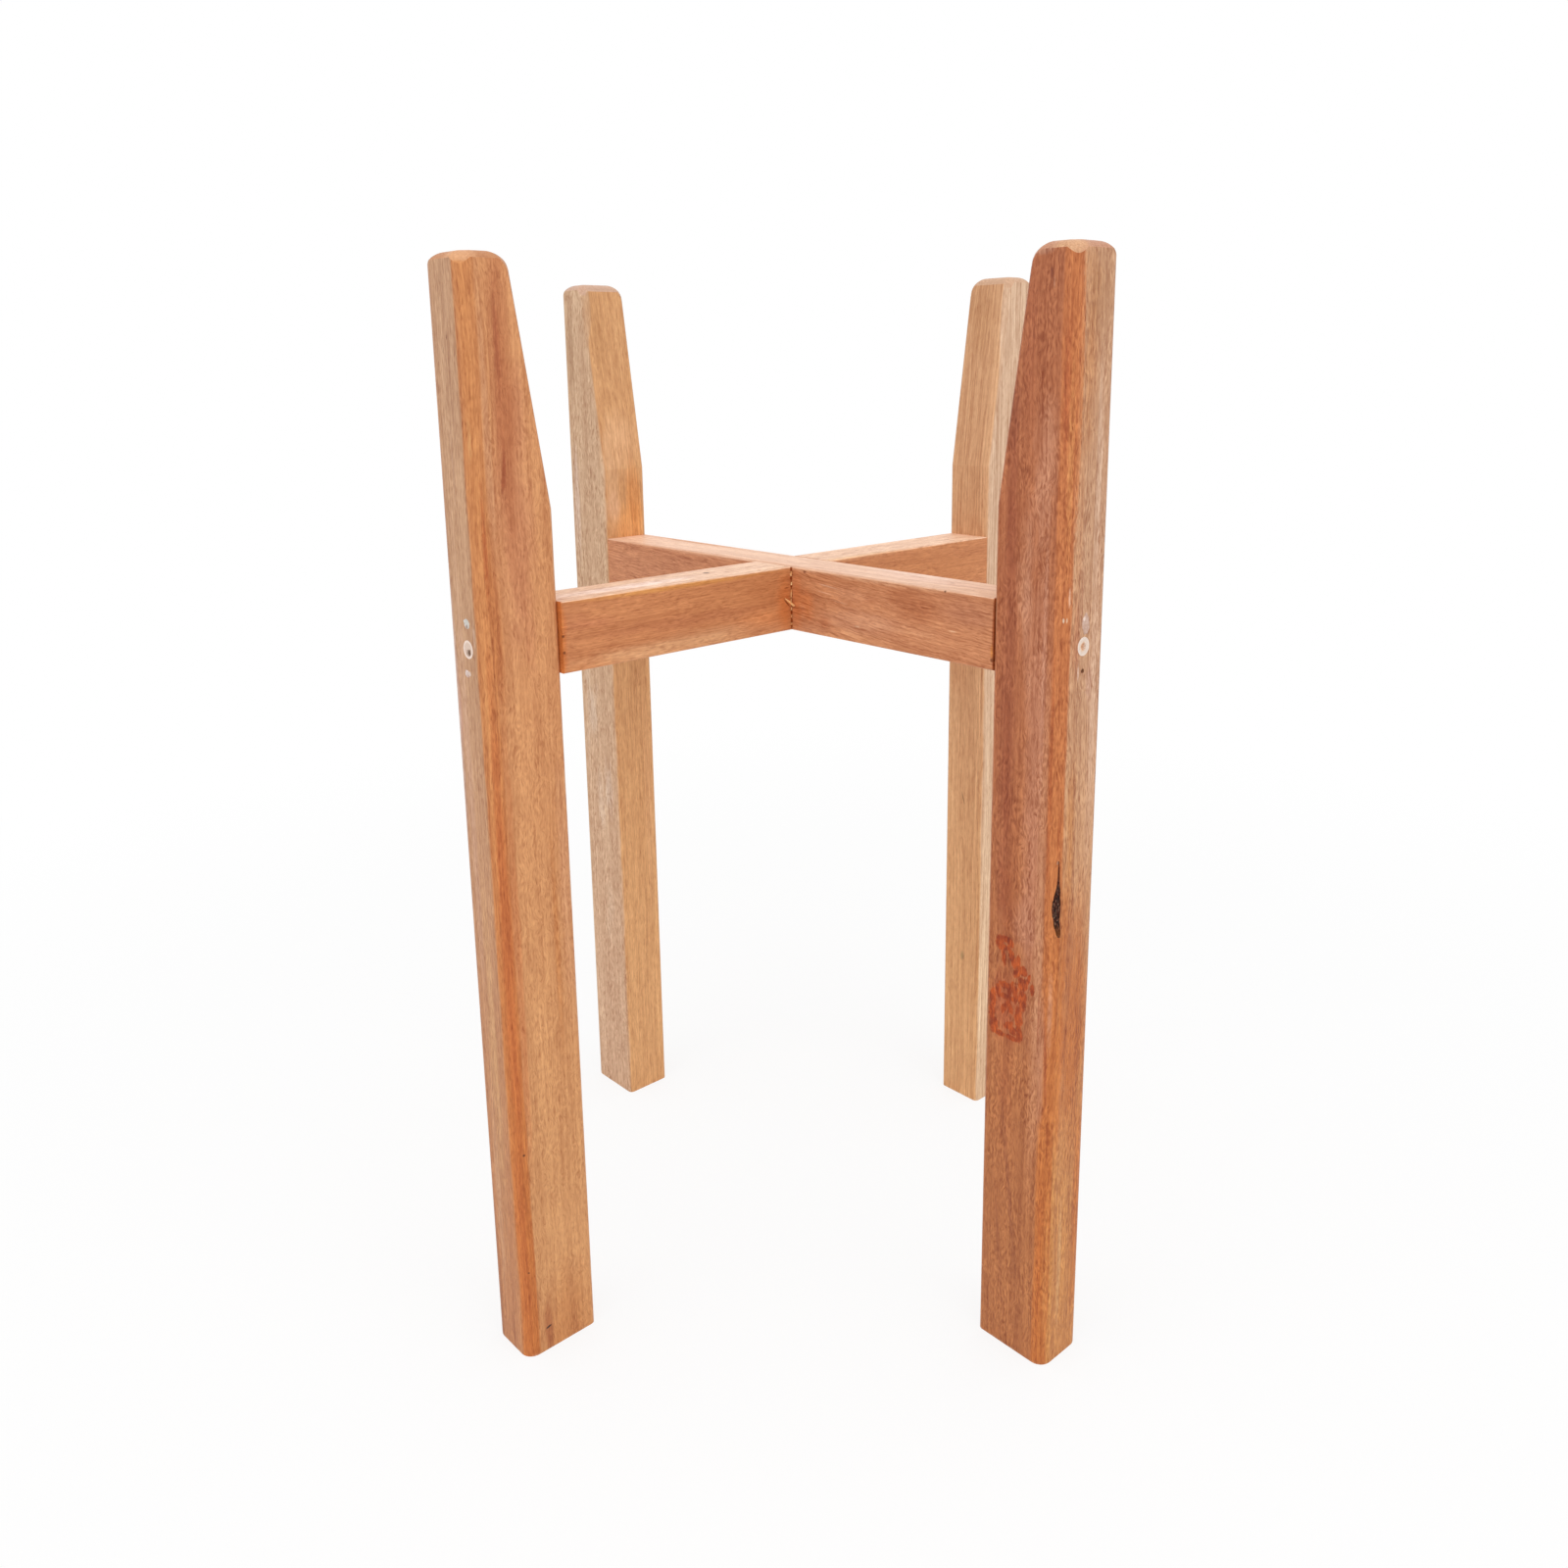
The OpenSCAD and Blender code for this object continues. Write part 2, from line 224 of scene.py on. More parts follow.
def make_grain():
    """Straight hardwood grain: growth bands, long lines, waving fibres, pores and short strokes."""
    tree, given, out = new_group(
        "grain",
        {"Place": "vector", "Tone": "colour", "Band Width": "float", "Bands": "float",
         **{name: "float" for name in Grain._fields}},
        {"Colour": "colour", "Height": "float", "Pore": "float"})
    place = given["Place"]

    def drifted(start, size, reach):
        """Start, moved sideways by parts of reach in waves of that size."""
        sideways = put(tree, "ShaderNodeTexNoise",
                       {"Vector": stretched(tree, place, size), "Scale": 1.0, "Detail": 1.0})
        sideways = vectors(tree, "SUBTRACT", sideways.outputs["Color"], (0.5, 0.5, 0.5))
        return vectors(tree, "MULTIPLY_ADD", sideways, reach, start)

    def about_nothing(field, strength):
        return maths(tree, "MULTIPLY", maths(tree, "SUBTRACT", field, 0.5), strength)

    def figure(start, size, detail, kind):
        """One kind of figure, paler and darker about nothing, at the strength given for it."""
        return about_nothing(noise(tree, stretched(tree, start, size), detail, 0.6), given[kind])

    # The growth bands wander a little along the board, and the fibres wave about them
    grown = drifted(place, DRIFT_SIZE, DRIFT_REACH)
    waved = drifted(grown, WAVE_SIZE, join(tree, given["Waves"], given["Waves"], 0.0))

    band_size = join(tree, given["Band Width"], given["Band Width"], BAND_LENGTH)
    bands = noise(tree, vectors(tree, "DIVIDE", grown, band_size), 2.0, 0.6)
    lines = figure(grown, LINE_SIZE, 2.0, "Lines")
    fibres = figure(waved, FIBRE_SIZE, 2.0, "Fibres")
    mottle = figure(waved, MOTTLE_SIZE, 3.0, "Mottle")

    # Pores are short dark dashes, more of them in some bands than in others
    pore_field = noise(tree, stretched(tree, waved, PORE_SIZE), 0.0)
    pore_share = maths(tree, "MULTIPLY_ADD", maths(tree, "SUBTRACT", bands, 0.5), PORES_IN_BANDS,
                       pore_field)
    pores = maths(tree, "MULTIPLY", step(tree, pore_share, *PORE_OPENS), given["Pores"],
                  clamp=True)

    # Where the fibres dive, their ends show as short pale and dark strokes
    stroke_field = noise(tree, stretched(tree, waved, STROKE_SIZE))
    stroke_patches = step(tree, noise(tree, stretched(tree, place, STROKE_PATCH_SIZE)),
                          *STROKES_GATHER, STROKES_APART, STROKES_GATHERED)
    strokes = maths(tree, "MULTIPLY", step(tree, stroke_field, *STROKE_TURNS, -1.0, 1.0),
                    stroke_patches)

    shade = maths(tree, "ADD", about_nothing(bands, given["Bands"]), lines)
    shade = maths(tree, "ADD", shade, fibres)
    shade = maths(tree, "ADD", shade, mottle)
    shade = maths(tree, "MULTIPLY_ADD", strokes, given["Strokes"], shade)
    shade = maths(tree, "MULTIPLY_ADD", pores, PORE_SHADE, shade)
    tint = vectors(tree, "MULTIPLY_ADD", join(tree, shade, shade, shade), SHADE_BY_CHANNEL,
                   (1.0, 1.0, 1.0))
    tint = vectors(tree, "MAXIMUM", tint, DARKEST)

    height = maths(tree, "MULTIPLY_ADD", fibres, FIBRE_RELIEF,
                   maths(tree, "MULTIPLY", lines, LINE_RELIEF))
    height = maths(tree, "MULTIPLY_ADD", pores, PORE_RELIEF, height)
    height = maths(tree, "MULTIPLY_ADD", strokes, STROKE_RELIEF, height)
    feed(tree, out.inputs["Colour"], vectors(tree, "MULTIPLY", given["Tone"], tint))
    feed(tree, out.inputs["Height"], height)
    feed(tree, out.inputs["Pore"], pores)
    return tree


COARSE_TEAR = (6.0, 24.0)
FINE_TEAR = (1.6, 2.6)


def make_ragged():
    """Two uneven fields about nothing, coarse and fine, that tear the edges of patches."""
    tree, given, out = new_group("ragged", {"Place": "vector"},
                                 {"Coarse": "float", "Fine": "float"})
    coarse = noise(tree, stretched(tree, given["Place"], COARSE_TEAR), 3.0, 0.6)
    fine = noise(tree, stretched(tree, given["Place"], FINE_TEAR), 3.0, 0.65)
    feed(tree, out.inputs["Coarse"], maths(tree, "SUBTRACT", coarse, 0.5))
    feed(tree, out.inputs["Fine"], maths(tree, "SUBTRACT", fine, 0.5))
    return tree


def make_patch():
    """A soft or torn patch round a point of the board, which may lean as it goes up."""
    tree, given, out = new_group(
        "patch",
        {"Place": "vector", "Centre": "vector", "Half Size": "vector", "Lean": "vector",
         "Softness": "float", "Tear": "float"},
        {"Mask": "float"})
    offset = vectors(tree, "SUBTRACT", given["Place"], given["Centre"])
    rise = split(tree, offset)[2]
    leaned = vectors(tree, "MULTIPLY", join(tree, rise, rise, 0.0), given["Lean"])
    offset = vectors(tree, "DIVIDE", vectors(tree, "SUBTRACT", offset, leaned), given["Half Size"])
    distance = maths(tree, "ADD", vectors(tree, "LENGTH", offset), given["Tear"])
    inner = maths(tree, "SUBTRACT", 1.0, given["Softness"])
    feed(tree, out.inputs["Mask"], step(tree, distance, inner, 1.0, 1.0, 0.0))
    return tree


# Where a leg's faces meet, in millimetres: how wide the change of tone is, how far a meeting
# wanders to either side and in what waves, and how deep the inner face's tone goes round the edge
CORNER_EDGE = 0.8
EDGE_WANDER = 1.2
EDGE_WAVES = (1.2, 26.0)
INNER_SKIN = (0.5, 1.3)
MIDDLE_EDGE = 0.1

# How far up the surface faces where a leg's crown and a rail's top begin
CROWN_BEGINS = (0.30, 0.42)
RAIL_TOP_BEGINS = (0.3, 0.6)


def make_leg_faces():
    """Which face of a leg a point lies on, as masks with the crisp edges that a plane leaves."""
    tree, given, out = new_group(
        "leg_faces", {"Place": "vector", "Corner Across": "float", "Corner Depth": "float"},
        {"Outer": "float", "Inner": "float", "Left Corner": "float", "Right Corner": "float",
         "Right Side": "float", "Side": "float", "Crown": "float", "Skin": "float"})
    depth, across, height = split(tree, given["Place"])
    away = maths(tree, "ABSOLUTE", across)
    uneven = noise(tree, stretched(tree, given["Place"], EDGE_WAVES), 2.0)
    uneven = maths(tree, "MULTIPLY_ADD", uneven, 2.0 * EDGE_WANDER, -EDGE_WANDER)

    def beyond(value, bound):
        past = maths(tree, "ADD", maths(tree, "SUBTRACT", value, bound), uneven)
        return step(tree, past, -CORNER_EDGE, CORNER_EDGE)

    def all_but(mask):
        return maths(tree, "SUBTRACT", 1.0, mask)

    front = beyond(depth, given["Corner Depth"])
    rounded = beyond(away, given["Corner Across"])
    right = step(tree, across, -MIDDLE_EDGE, MIDDLE_EDGE)
    corner = maths(tree, "MULTIPLY", front, rounded)
    feed(tree, out.inputs["Outer"], maths(tree, "SUBTRACT", front, corner))
    feed(tree, out.inputs["Right Corner"], maths(tree, "MULTIPLY", corner, right))
    feed(tree, out.inputs["Left Corner"], maths(tree, "MULTIPLY", corner, all_but(right)))
    feed(tree, out.inputs["Right Side"], right)

    # Above the rails the inner face slopes away from the pot
    slope = maths(tree, "MAXIMUM", maths(tree, "SUBTRACT", height, SLOPE_STARTS), 0.0)
    skin = maths(tree, "SUBTRACT", depth, maths(tree, "MULTIPLY", slope, SLOPE_RUN))
    behind = step(tree, skin, *INNER_SKIN)
    feed(tree, out.inputs["Skin"], skin)
    feed(tree, out.inputs["Inner"], all_but(behind))
    feed(tree, out.inputs["Side"], maths(tree, "MULTIPLY", behind, all_but(front)))
    feed(tree, out.inputs["Crown"], step(tree, facing_up(tree), *CROWN_BEGINS))
    return tree


# Worn edges: the size of the rubbed places and the levels of noise over which they set in; and, in
# millimetres, how far in from a leg's side the wear starts and is full, and over what reach it
# ends away from the inner face and above the foot
RUBBED_SIZE = (4.0, 22.0)
RUBBED_LEVELS = (0.45, 0.68)
WORN_FROM_SIDE = (1.8, 0.6)
WORN_FROM_INNER = (0.7, 2.4)
WORN_FOOT = (0.2, 1.4)


def make_worn_edge():
    """Pale rubbed wood along a leg's long edges and round its foot."""
    tree, given, out = new_group("worn_edge", {"Place": "vector"}, {"Mask": "float"})
    depth, across, height = split(tree, given["Place"])
    away = maths(tree, "ABSOLUTE", across)
    rub = noise(tree, stretched(tree, given["Place"], RUBBED_SIZE), 2.0)
    rub = step(tree, rub, *RUBBED_LEVELS)
    starts, full = (LEG_WIDTH / 2 - inset for inset in WORN_FROM_SIDE)
    near_inner = maths(tree, "MULTIPLY", step(tree, away, starts, full),
                       step(tree, depth, *WORN_FROM_INNER, 1.0, 0.0))
    near_foot = step(tree, height, *WORN_FOOT, 1.0, 0.0)
    worn = maths(tree, "MAXIMUM", near_inner, near_foot)
    feed(tree, out.inputs["Mask"], maths(tree, "MULTIPLY", worn, rub))
    return tree


# ---------------------------------------------------------------- timber


def board_place(tree, origin, turn):
    """A board's own place in millimetres: turned by turn, an Euler, from origin in metres."""
    shift = -(turn.to_matrix() @ Vector(origin)) / MM
    at = put(tree, "ShaderNodeTexCoord").outputs["Object"]
    return put(tree, "ShaderNodeMapping", {"Vector": at, "Location": shift, "Rotation": turn,
                                           "Scale": (1 / MM,) * 3}).outputs[0]


def new_material(name):
    material = bpy.data.materials.new(name)
    material.use_nodes = True
    material.node_tree.nodes.clear()
    return material, material.node_tree


def finish_surface(tree, base, roughness, height, bump_depth, **shader_values):
    """Joins the colour, roughness and bump to the material's shader."""
    shader = put(tree, "ShaderNodeBsdfPrincipled", {"Base Color": base, "Roughness": roughness})
    for name, value in shader_values.items():
        shader.inputs[name.replace("_", " ")].default_value = value
    bump = put(tree, "ShaderNodeBump", {"Height": height, "Strength": 1.0, "Distance": bump_depth})
    feed(tree, shader.inputs["Normal"], bump.outputs[0])
    output = tree.nodes.new("ShaderNodeOutputMaterial")
    feed(tree, output.inputs["Surface"], shader.outputs[0])


def lay_grain(tree, place, tone, wood, lively):
    """A board's grain over its tone: its lively grain at lively 1 and its plain grain at 0."""
    own_length = vectors(tree, "ADD", place, wood["grain_from"])
    strengths = {name: maths(tree, "MULTIPLY_ADD", lively, full - plain, plain)
                 for name, plain, full in zip(Grain._fields, wood["plain_grain"],
                                              wood["lively_grain"])}
    return use(tree, EFFECTS["grain"], Place=own_length, Tone=tone, Band_Width=wood["band_width"],
               Bands=wood["bands"], **strengths)


# Pores are rougher than the planed wood round them
PORE_ROUGHNESS = 0.2
LEG_ROUGHNESS, RAIL_ROUGHNESS = 0.48, 0.46
LEG_BUMP, RAIL_BUMP = 0.15 * MM, 0.12 * MM


def finish_timber(tree, base, grain, roughness, bump_depth):
    """Joins a board's colour and grain to its shader."""
    roughness = maths(tree, "MULTIPLY_ADD", grain["Pore"], PORE_ROUGHNESS, roughness)
    finish_surface(tree, base, roughness, grain["Height"], bump_depth,
                   Specular_IOR_Level=WOOD_SHINE)


# A band, stain or speck on a board: its tint, its middle and half size in the board's own
# millimetres, and how much of it shows; then how soft its edge is, how far its edge is torn, and
# how far it leans in X and Y for each millimetre of Z
Mark = namedtuple("Mark", "tint centre half_size share softness tear lean",
                  defaults=(0.8, 0.6, (0.0, 0.0, 0.0)))

# Marks thinner than this have finely torn edges
SMALL_MARK = 2.5


def patch(tree, place, mark, torn):
    """How far a mark covers each point of its board."""
    edge = torn["Fine" if min(mark.half_size) < SMALL_MARK else "Coarse"]
    return use(tree, EFFECTS["patch"], Place=place, Centre=mark.centre, Half_Size=mark.half_size,
               Lean=mark.lean, Softness=mark.softness,
               Tear=maths(tree, "MULTIPLY", edge, mark.tear))["Mask"]


def add_marks(tree, base, place, marks):
    """Lays a board's bands, stains and specks over its colour, in order."""
    torn = use(tree, EFFECTS["ragged"], Place=place)
    for mark in (Mark(*row) for row in marks):
        base = cover(tree, base, patch(tree, place, mark, torn), mark.share, colour(*mark.tint))
    return base


# How far sanding took the grain off the crown, and the pale wood of a rubbed edge
CROWN_SANDED = 0.55
RUBBED_WOOD = colour(226, 190, 156)

LEG_TURNS = {"back_right": 0, "back_left": 90, "front_left": 180, "front_right": 270}

# Each leg's wood: the tones of each face at its foot and at its head, where its rounded corners
# begin, how far its edges are worn, and its grain. Left and right are as seen from outside, facing
# the outer face.
LEG_WOOD = {
    "front_left": {
        "outer": ((190, 124, 76), (195, 148, 111)),
        "left": ((204, 146, 104), (204, 148, 110)),
        "right": ((209, 149, 97), (211, 146, 96)),
        "inner": ((204, 142, 98), (204, 142, 98)),
        "left_corner": ((188, 128, 84), (196, 146, 116)),
        "right_corner": ((196, 114, 54), (202, 131, 78)),
        "crown": (192, 130, 84),
        "crown_marks": [
            ((216, 158, 112), (36, 10, 528), (9, 9, 18), 0.9, 0.6, 0.6),
            ((206, 136, 80), (38, 13, 520.5), (9, 9, 5.6), 0.9, 0.2, 0.3),
        ],
        "corner_across": 10.0, "corner_depth": 33.0, "worn": 0.6,
        "grain_from": (306.0, 162.0, 0.0), "band_width": 7.0, "bands": 0.7,
        "plain_grain": Grain(0.95, 0.92, 0.50, 3.0, 0.36, 0.08),
        "lively_grain": Grain(0.70, 0.55, 0.50, 6.0, 0.35, 0.10),
    },
    "front_right": {
        "outer": ((198, 129, 68), (199, 150, 114)),
        "left": ((180, 110, 62), (178, 106, 68)),
        "right": ((190, 128, 84), (196, 136, 96)),
        "inner": ((184, 118, 78), (186, 122, 84)),
        "left_corner": ((196, 114, 54), (193, 114, 66)),
        "right_corner": ((166, 96, 50), (160, 96, 54)),
        "crown": (194, 138, 106),
        "crown_marks": [((211, 160, 119), (33, -12, 526), (9, 9, 18), 0.95, 0.6, 0.6)],
        "corner_across": 11.4, "corner_depth": 33.0, "worn": 0.25,
        "grain_from": (459.0, 243.0, 0.0), "band_width": 6.0, "bands": 0.8,
        "plain_grain": Grain(1.00, 0.92, 0.60, 4.0, 0.45, 0.17),
        "lively_grain": Grain(0.90, 0.50, 0.55, 6.0, 0.45, 0.21),
    },
    "back_left": {
        "outer": ((206, 160, 118), (206, 160, 118)),
        "left": ((208, 166, 126), (208, 166, 126)),
        "right": ((210, 168, 134), (204, 166, 132)),
        "inner": ((222, 166, 112), (212, 158, 108)),
        "left_corner": ((208, 160, 114), (208, 160, 114)),
        "right_corner": ((210, 170, 132), (206, 166, 128)),
        "crown": (204, 164, 138),
        "crown_marks": [((206, 178, 164), (33, 8, 530), (10, 10, 14), 0.7, 0.8, 0.8)],
        "corner_across": 10.0, "corner_depth": 34.0, "worn": 0.6,
        "grain_from": (153.0, 81.0, 0.0), "band_width": 8.0, "bands": 0.6,
        "plain_grain": Grain(0.80, 0.70, 0.60, 2.5, 0.25, 0.06),
        "lively_grain": Grain(0.95, 0.80, 0.70, 5.0, 0.46, 0.14),
    },
    "back_right": {
        "outer": ((208, 164, 122), (208, 164, 122)),
        "left": ((228, 190, 152), (216, 178, 146)),
        "right": ((210, 170, 130), (210, 170, 130)),
        "inner": ((220, 166, 115), (210, 160, 118)),
        "left_corner": ((216, 174, 136), (212, 170, 132)),
        "right_corner": ((208, 164, 120), (208, 164, 120)),
        "crown": (204, 162, 130),
        "crown_marks": [],
        "corner_across": 10.0, "corner_depth": 34.0, "worn": 0.6,
        "grain_from": (0.0, 0.0, 0.0), "band_width": 8.0, "bands": 0.6,
        "plain_grain": Grain(1.10, 0.60, 0.45, 2.0, 0.25, 0.05),
        "lively_grain": Grain(1.60, 0.50, 0.45, 3.0, 0.25, 0.05),
    },
}

# The bands, stains and specks of each leg, as the rows of Mark
LEG_MARKS = {
    "front_left": (
        # Outer face
        ((184, 138, 104), (40, 1, 490), (5, 12, 70), 0.5),
        ((206, 160, 134), (40, -4, 290), (5, 4, 150), 0.4),
        ((204, 156, 118), (40, -4, 90), (5, 4, 80), 0.5),
        ((176, 132, 108), (40, 0, 440), (5, 0.6, 26), 0.6, 0.8, 0.8),
        ((140, 92, 60), (40, 2.2, 494.7), (2, 0.8, 1.4), 0.8),
        ((156, 112, 82), (40, -1.4, 490), (2, 0.9, 3.0), 0.6, 0.8, 0.8),
        ((212, 180, 158), (40, 8.6, 367), (3, 1.4, 8), 0.5),
        ((206, 150, 134), (40, -8, 330), (5, 2.5, 30), 0.4),
        ((230, 206, 196), (40, -9.5, 325), (5, 2.5, 80), 0.45, 0.9, 1.0),
        ((160, 94, 48), (39, -11, 20), (6, 5, 92), 0.75),
        ((218, 168, 116), (40, 1, 150), (5, 6, 130), 0.45),
        # Side that faces the camera
        ((192, 122, 88), (20, 15, 420), (13, 8, 90), 0.5, 0.8, 0.9),
        ((176, 106, 70), (15, 15, 466), (5, 8, 26), 0.4, 0.9, 1.2),
        ((178, 102, 60), (22.0, 15, 470), (8, 8, 110), 0.75),
        ((158, 80, 46), (23.4, 15, 442), (1.0, 8, 22), 0.5, 0.8, 1.0),
        ((150, 70, 36), (24.4, 15, 436), (1.5, 8, 13), 0.8, 0.8, 1.0, (-0.1, 0, 0)),
        ((160, 80, 46), (23.8, 15, 492), (2.2, 8, 34), 0.6, 0.9, 1.2),
        ((192, 122, 80), (16, 15, 375), (4, 8, 60), 0.45, 0.9, 1.2),
        ((212, 156, 116), (31, 15, 450), (2.5, 6, 90), 0.5),
        ((214, 142, 82), (10.5, 15, 215), (2.2, 8, 76), 0.65, 0.9, 0.8),
        ((192, 112, 58), (32, 15, 370), (4, 6, 70), 0.7, 0.9),
        ((216, 158, 118), (4, 15, 235), (5, 8, 90), 0.5, 0.9, 1.2),
        ((190, 116, 58), (16, 15, 4), (22, 8, 52), 0.5),
        # Near corner
        ((182, 88, 38), (35.2, 13.6, 405), (1.7, 3.0, 40), 0.7, 0.8, 0.8),
        ((212, 138, 86), (31.6, 15, 210), (2.8, 4, 150), 0.85, 0.7, 0.8),
        ((194, 100, 46), (36.4, 13.2, 225), (3.4, 4.2, 165), 0.6, 0.6, 0.6),
        ((188, 98, 46), (37.0, 12.0, 60), (3.8, 4.5, 110), 0.6),
        ((214, 150, 92), (38.0, 11.6, 300), (1.4, 2.4, 130), 0.4, 0.9, 1.0),
        ((216, 170, 112), (38.0, 11.6, 452), (1.2, 2.4, 16), 0.5, 0.8, 1.0),
        # Foot
        ((164, 92, 52), (27.6, 15, 12), (3.4, 5, 26), 0.75),
        ((44, 30, 22), (27.6, 15, 12.6), (1.7, 4, 0.9), 0.95, 0.5, 0.2, (-1.2, 0, 0)),
        ((90, 50, 32), (36.4, 14.4, 47.6), (0.7, 3, 0.8), 0.9),
        ((70, 34, 20), (35.2, 14.2, 112), (0.9, 3, 1.0), 0.95),
    ),
    "front_right": (
        # Side that faces the camera
        ((156, 84, 54), (9, -15, 330), (7, 9, 165), 0.65, 0.8, 0.9),
        ((152, 76, 44), (9.5, -15, 285), (4, 9, 60), 0.5, 0.8, 1.6),
        ((144, 70, 44), (9, -15, 420), (4, 9, 40), 0.5, 0.8, 1.6),
        ((140, 72, 46), (10, -15, 460), (3.6, 9, 22), 0.55, 0.8, 1.4),
        ((204, 148, 118), (21.5, -15, 527.2), (8, 8, 3.6), 0.85, 0.6, 0.8),
        ((152, 88, 60), (23.6, -15, 526), (0.9, 6, 3.0), 0.7, 0.6, 0.6),
        ((134, 66, 42), (26.4, -15, 517), (1.2, 6, 3.4), 0.8, 0.6, 0.6),
        ((216, 164, 134), (27.9, -15, 513), (0.7, 6, 2.8), 0.45, 0.7, 0.8),
        ((166, 92, 58), (17, -15, 490), (5, 9, 60), 0.6),
        ((166, 86, 46), (13, -15, 190), (7, 9, 130), 0.45, 0.9, 1.0),
        ((196, 132, 100), (25, -15, 300), (7, 7, 150), 0.75, 0.8, 0.8),
        ((208, 148, 116), (26, -15, 436), (8, 7, 46), 0.6, 0.9, 1.0),
        ((202, 142, 108), (17, -15, 386), (5, 7, 34), 0.6, 0.9, 1.2),
        ((206, 146, 106), (30.5, -15, 190), (4, 7, 90), 0.6, 0.9, 0.9),
        ((204, 142, 104), (30.5, -15, 250), (3.5, 7, 150), 0.6, 0.9, 0.8),
        ((192, 132, 102), (19, -15, 380), (4, 7, 50), 0.6, 0.9, 0.8),
        ((200, 140, 112), (28.5, -15, 350), (2.0, 7, 90), 0.6, 0.9, 1.2),
        ((190, 128, 100), (22, -15, 228), (9, 9, 16), 0.45, 0.8, 0.9),
        ((194, 126, 84), (29, -15, 130), (5, 9, 60), 0.5),
        ((140, 72, 42), (16.5, -15, 92), (1.9, 8, 75), 0.55, 0.9, 1.0, (-0.12, 0, 0)),
        ((150, 80, 48), (11, -15, 60), (1.4, 8, 60), 0.4, 0.9, 1.0, (-0.10, 0, 0)),
        ((160, 78, 46), (31.6, -15, 182), (0.9, 7, 26), 0.6, 0.8, 1.2),
        ((168, 80, 50), (26.5, -15, 197), (1.4, 7, 1.3), 0.6, 0.8, 1.0),
        # Near corner
        ((166, 78, 36), (34.0, -14.4, 300), (1.3, 4, 75), 0.55, 0.8, 1.4),
        ((168, 76, 36), (35.5, -13.5, 470), (2.2, 4, 40), 0.55, 0.8, 1.6),
        ((214, 148, 88), (37.6, -12.4, 440), (1.6, 3, 60), 0.5, 0.9, 1.6),
        ((202, 140, 104), (33.6, -14.6, 165), (2.6, 3, 52), 0.75, 0.8, 0.8),
        ((196, 136, 104), (36.8, -13.2, 188), (1.6, 2.6, 30), 0.6, 0.8, 0.8),
        ((164, 80, 44), (35.6, -14.4, 166), (1.0, 3, 40), 0.65, 0.8, 0.9, (-0.04, 0, 0)),
        ((196, 116, 66), (40, -10.9, 470), (4, 2.2, 80), 0.85, 0.5, 0.8),
        ((186, 96, 42), (35.6, -13.4, 60), (1.6, 3, 80), 0.55),
        ((216, 148, 84), (38.0, -11.6, 50), (1.6, 3, 70), 0.6, 0.9, 0.8),
        ((164, 78, 34), (37.9, -12.9, 274), (0.5, 2, 14), 0.6, 0.7, 0.8),
        ((234, 210, 184), (37.2, -13.8, 372.6), (0.5, 0.6, 1.4), 0.9, 0.6, 0.3),
        ((228, 188, 152), (38.3, -12.9, 372.6), (0.45, 0.5, 1.5), 0.75, 0.6, 0.3),
        # Outer face
        ((188, 124, 80), (40, -8, 400), (5, 4, 130), 0.5),
        ((214, 168, 136), (40, 6, 350), (5, 5, 130), 0.55),
        ((214, 176, 148), (40, 3, 430), (4, 1.3, 75), 0.5, 0.9, 1.0),
        ((200, 130, 70), (40, -7, 262), (6, 5, 80), 0.75, 0.9, 1.0),
        ((194, 124, 86), (40, -7.5, 364), (5, 3.6, 24), 0.6, 0.9, 1.2),
        ((178, 108, 76), (40, -4.6, 382), (3, 0.7, 17), 0.5, 0.9, 1.0),
        ((188, 122, 72), (40, -5, 485), (6, 8, 66), 0.75, 0.9, 1.0),
        ((226, 190, 162), (40, 4.5, 430), (5, 3.4, 66), 0.5, 0.9, 1.0),
        ((224, 186, 156), (40, 6, 342), (5, 3.8, 60), 0.4, 0.9, 1.0),
        ((178, 106, 58), (38.4, 13.4, 390), (4, 3.2, 150), 0.7),
        ((185, 99, 35), (40, 0, 180), (6, 16, 90), 0.8),
        ((180, 94, 34), (40, -9, 226), (5, 4.5, 40), 0.6),
        ((200, 112, 46), (39.4, -9.4, 165), (4, 3.6, 66), 0.7, 0.7, 0.6),
        ((190, 102, 38), (40, 9, 80), (6, 6, 90), 0.7),
        ((176, 122, 80), (40, 1, 508), (5, 13, 26), 0.5),
        ((236, 194, 164), (40, -12.2, 382), (4, 0.6, 6), 0.8, 0.8, 1.0),
        # Inside the open brad hole: near-black painted shade
        ((64, 24, 8), (35.2, -2.5, 349), (4.3, 2.4, 2.4), 1.0, 0.3, 0.0),
        ((214, 164, 110), (40, -4, 52), (4, 2.4, 46), 0.5),
        ((178, 92, 36), (38.4, 12.9, 120), (4, 2.8, 150), 0.75),
        ((224, 186, 164), (40, -5.8, 348.6), (2, 1.0, 5.5), 0.7, 0.8, 0.8),
        ((214, 168, 148), (40, 2.4, 343), (2, 3.4, 12), 0.45, 0.9, 1.4),
    ),
    "back_left": (
        # Inner face and its slope, and the side that the camera sees
        # The first mark, a warm pale band just above the rail, is painted light thrown up off the
        # rail's top
        ((242, 176, 110), (0, -3, 385), (5, 15, 20), 0.7, 0.7, 0.8),
        ((234, 184, 146), (0, 9, 398), (5, 6, 12), 0.6, 0.7, 0.8),
        ((226, 148, 78), (1, -6, 402), (6, 7, 32), 0.5, 0.7, 1.2),
        ((228, 184, 142), (2, 9, 412), (7, 8, 44), 0.5, 0.7, 1.2),
        ((222, 196, 180), (31, 15, 400), (5, 8, 44), 0.45),
        ((232, 178, 128), (0, -9, 200), (4, 4.5, 90), 0.5, 0.9, 1.0),
        ((234, 184, 138), (3, 0, 436), (8, 18, 30), 0.6, 0.9, 1.0),
        ((206, 168, 134), (17, 15.6, 545), (12, 6.4, 70), 1.0, 0.2, 0.5),
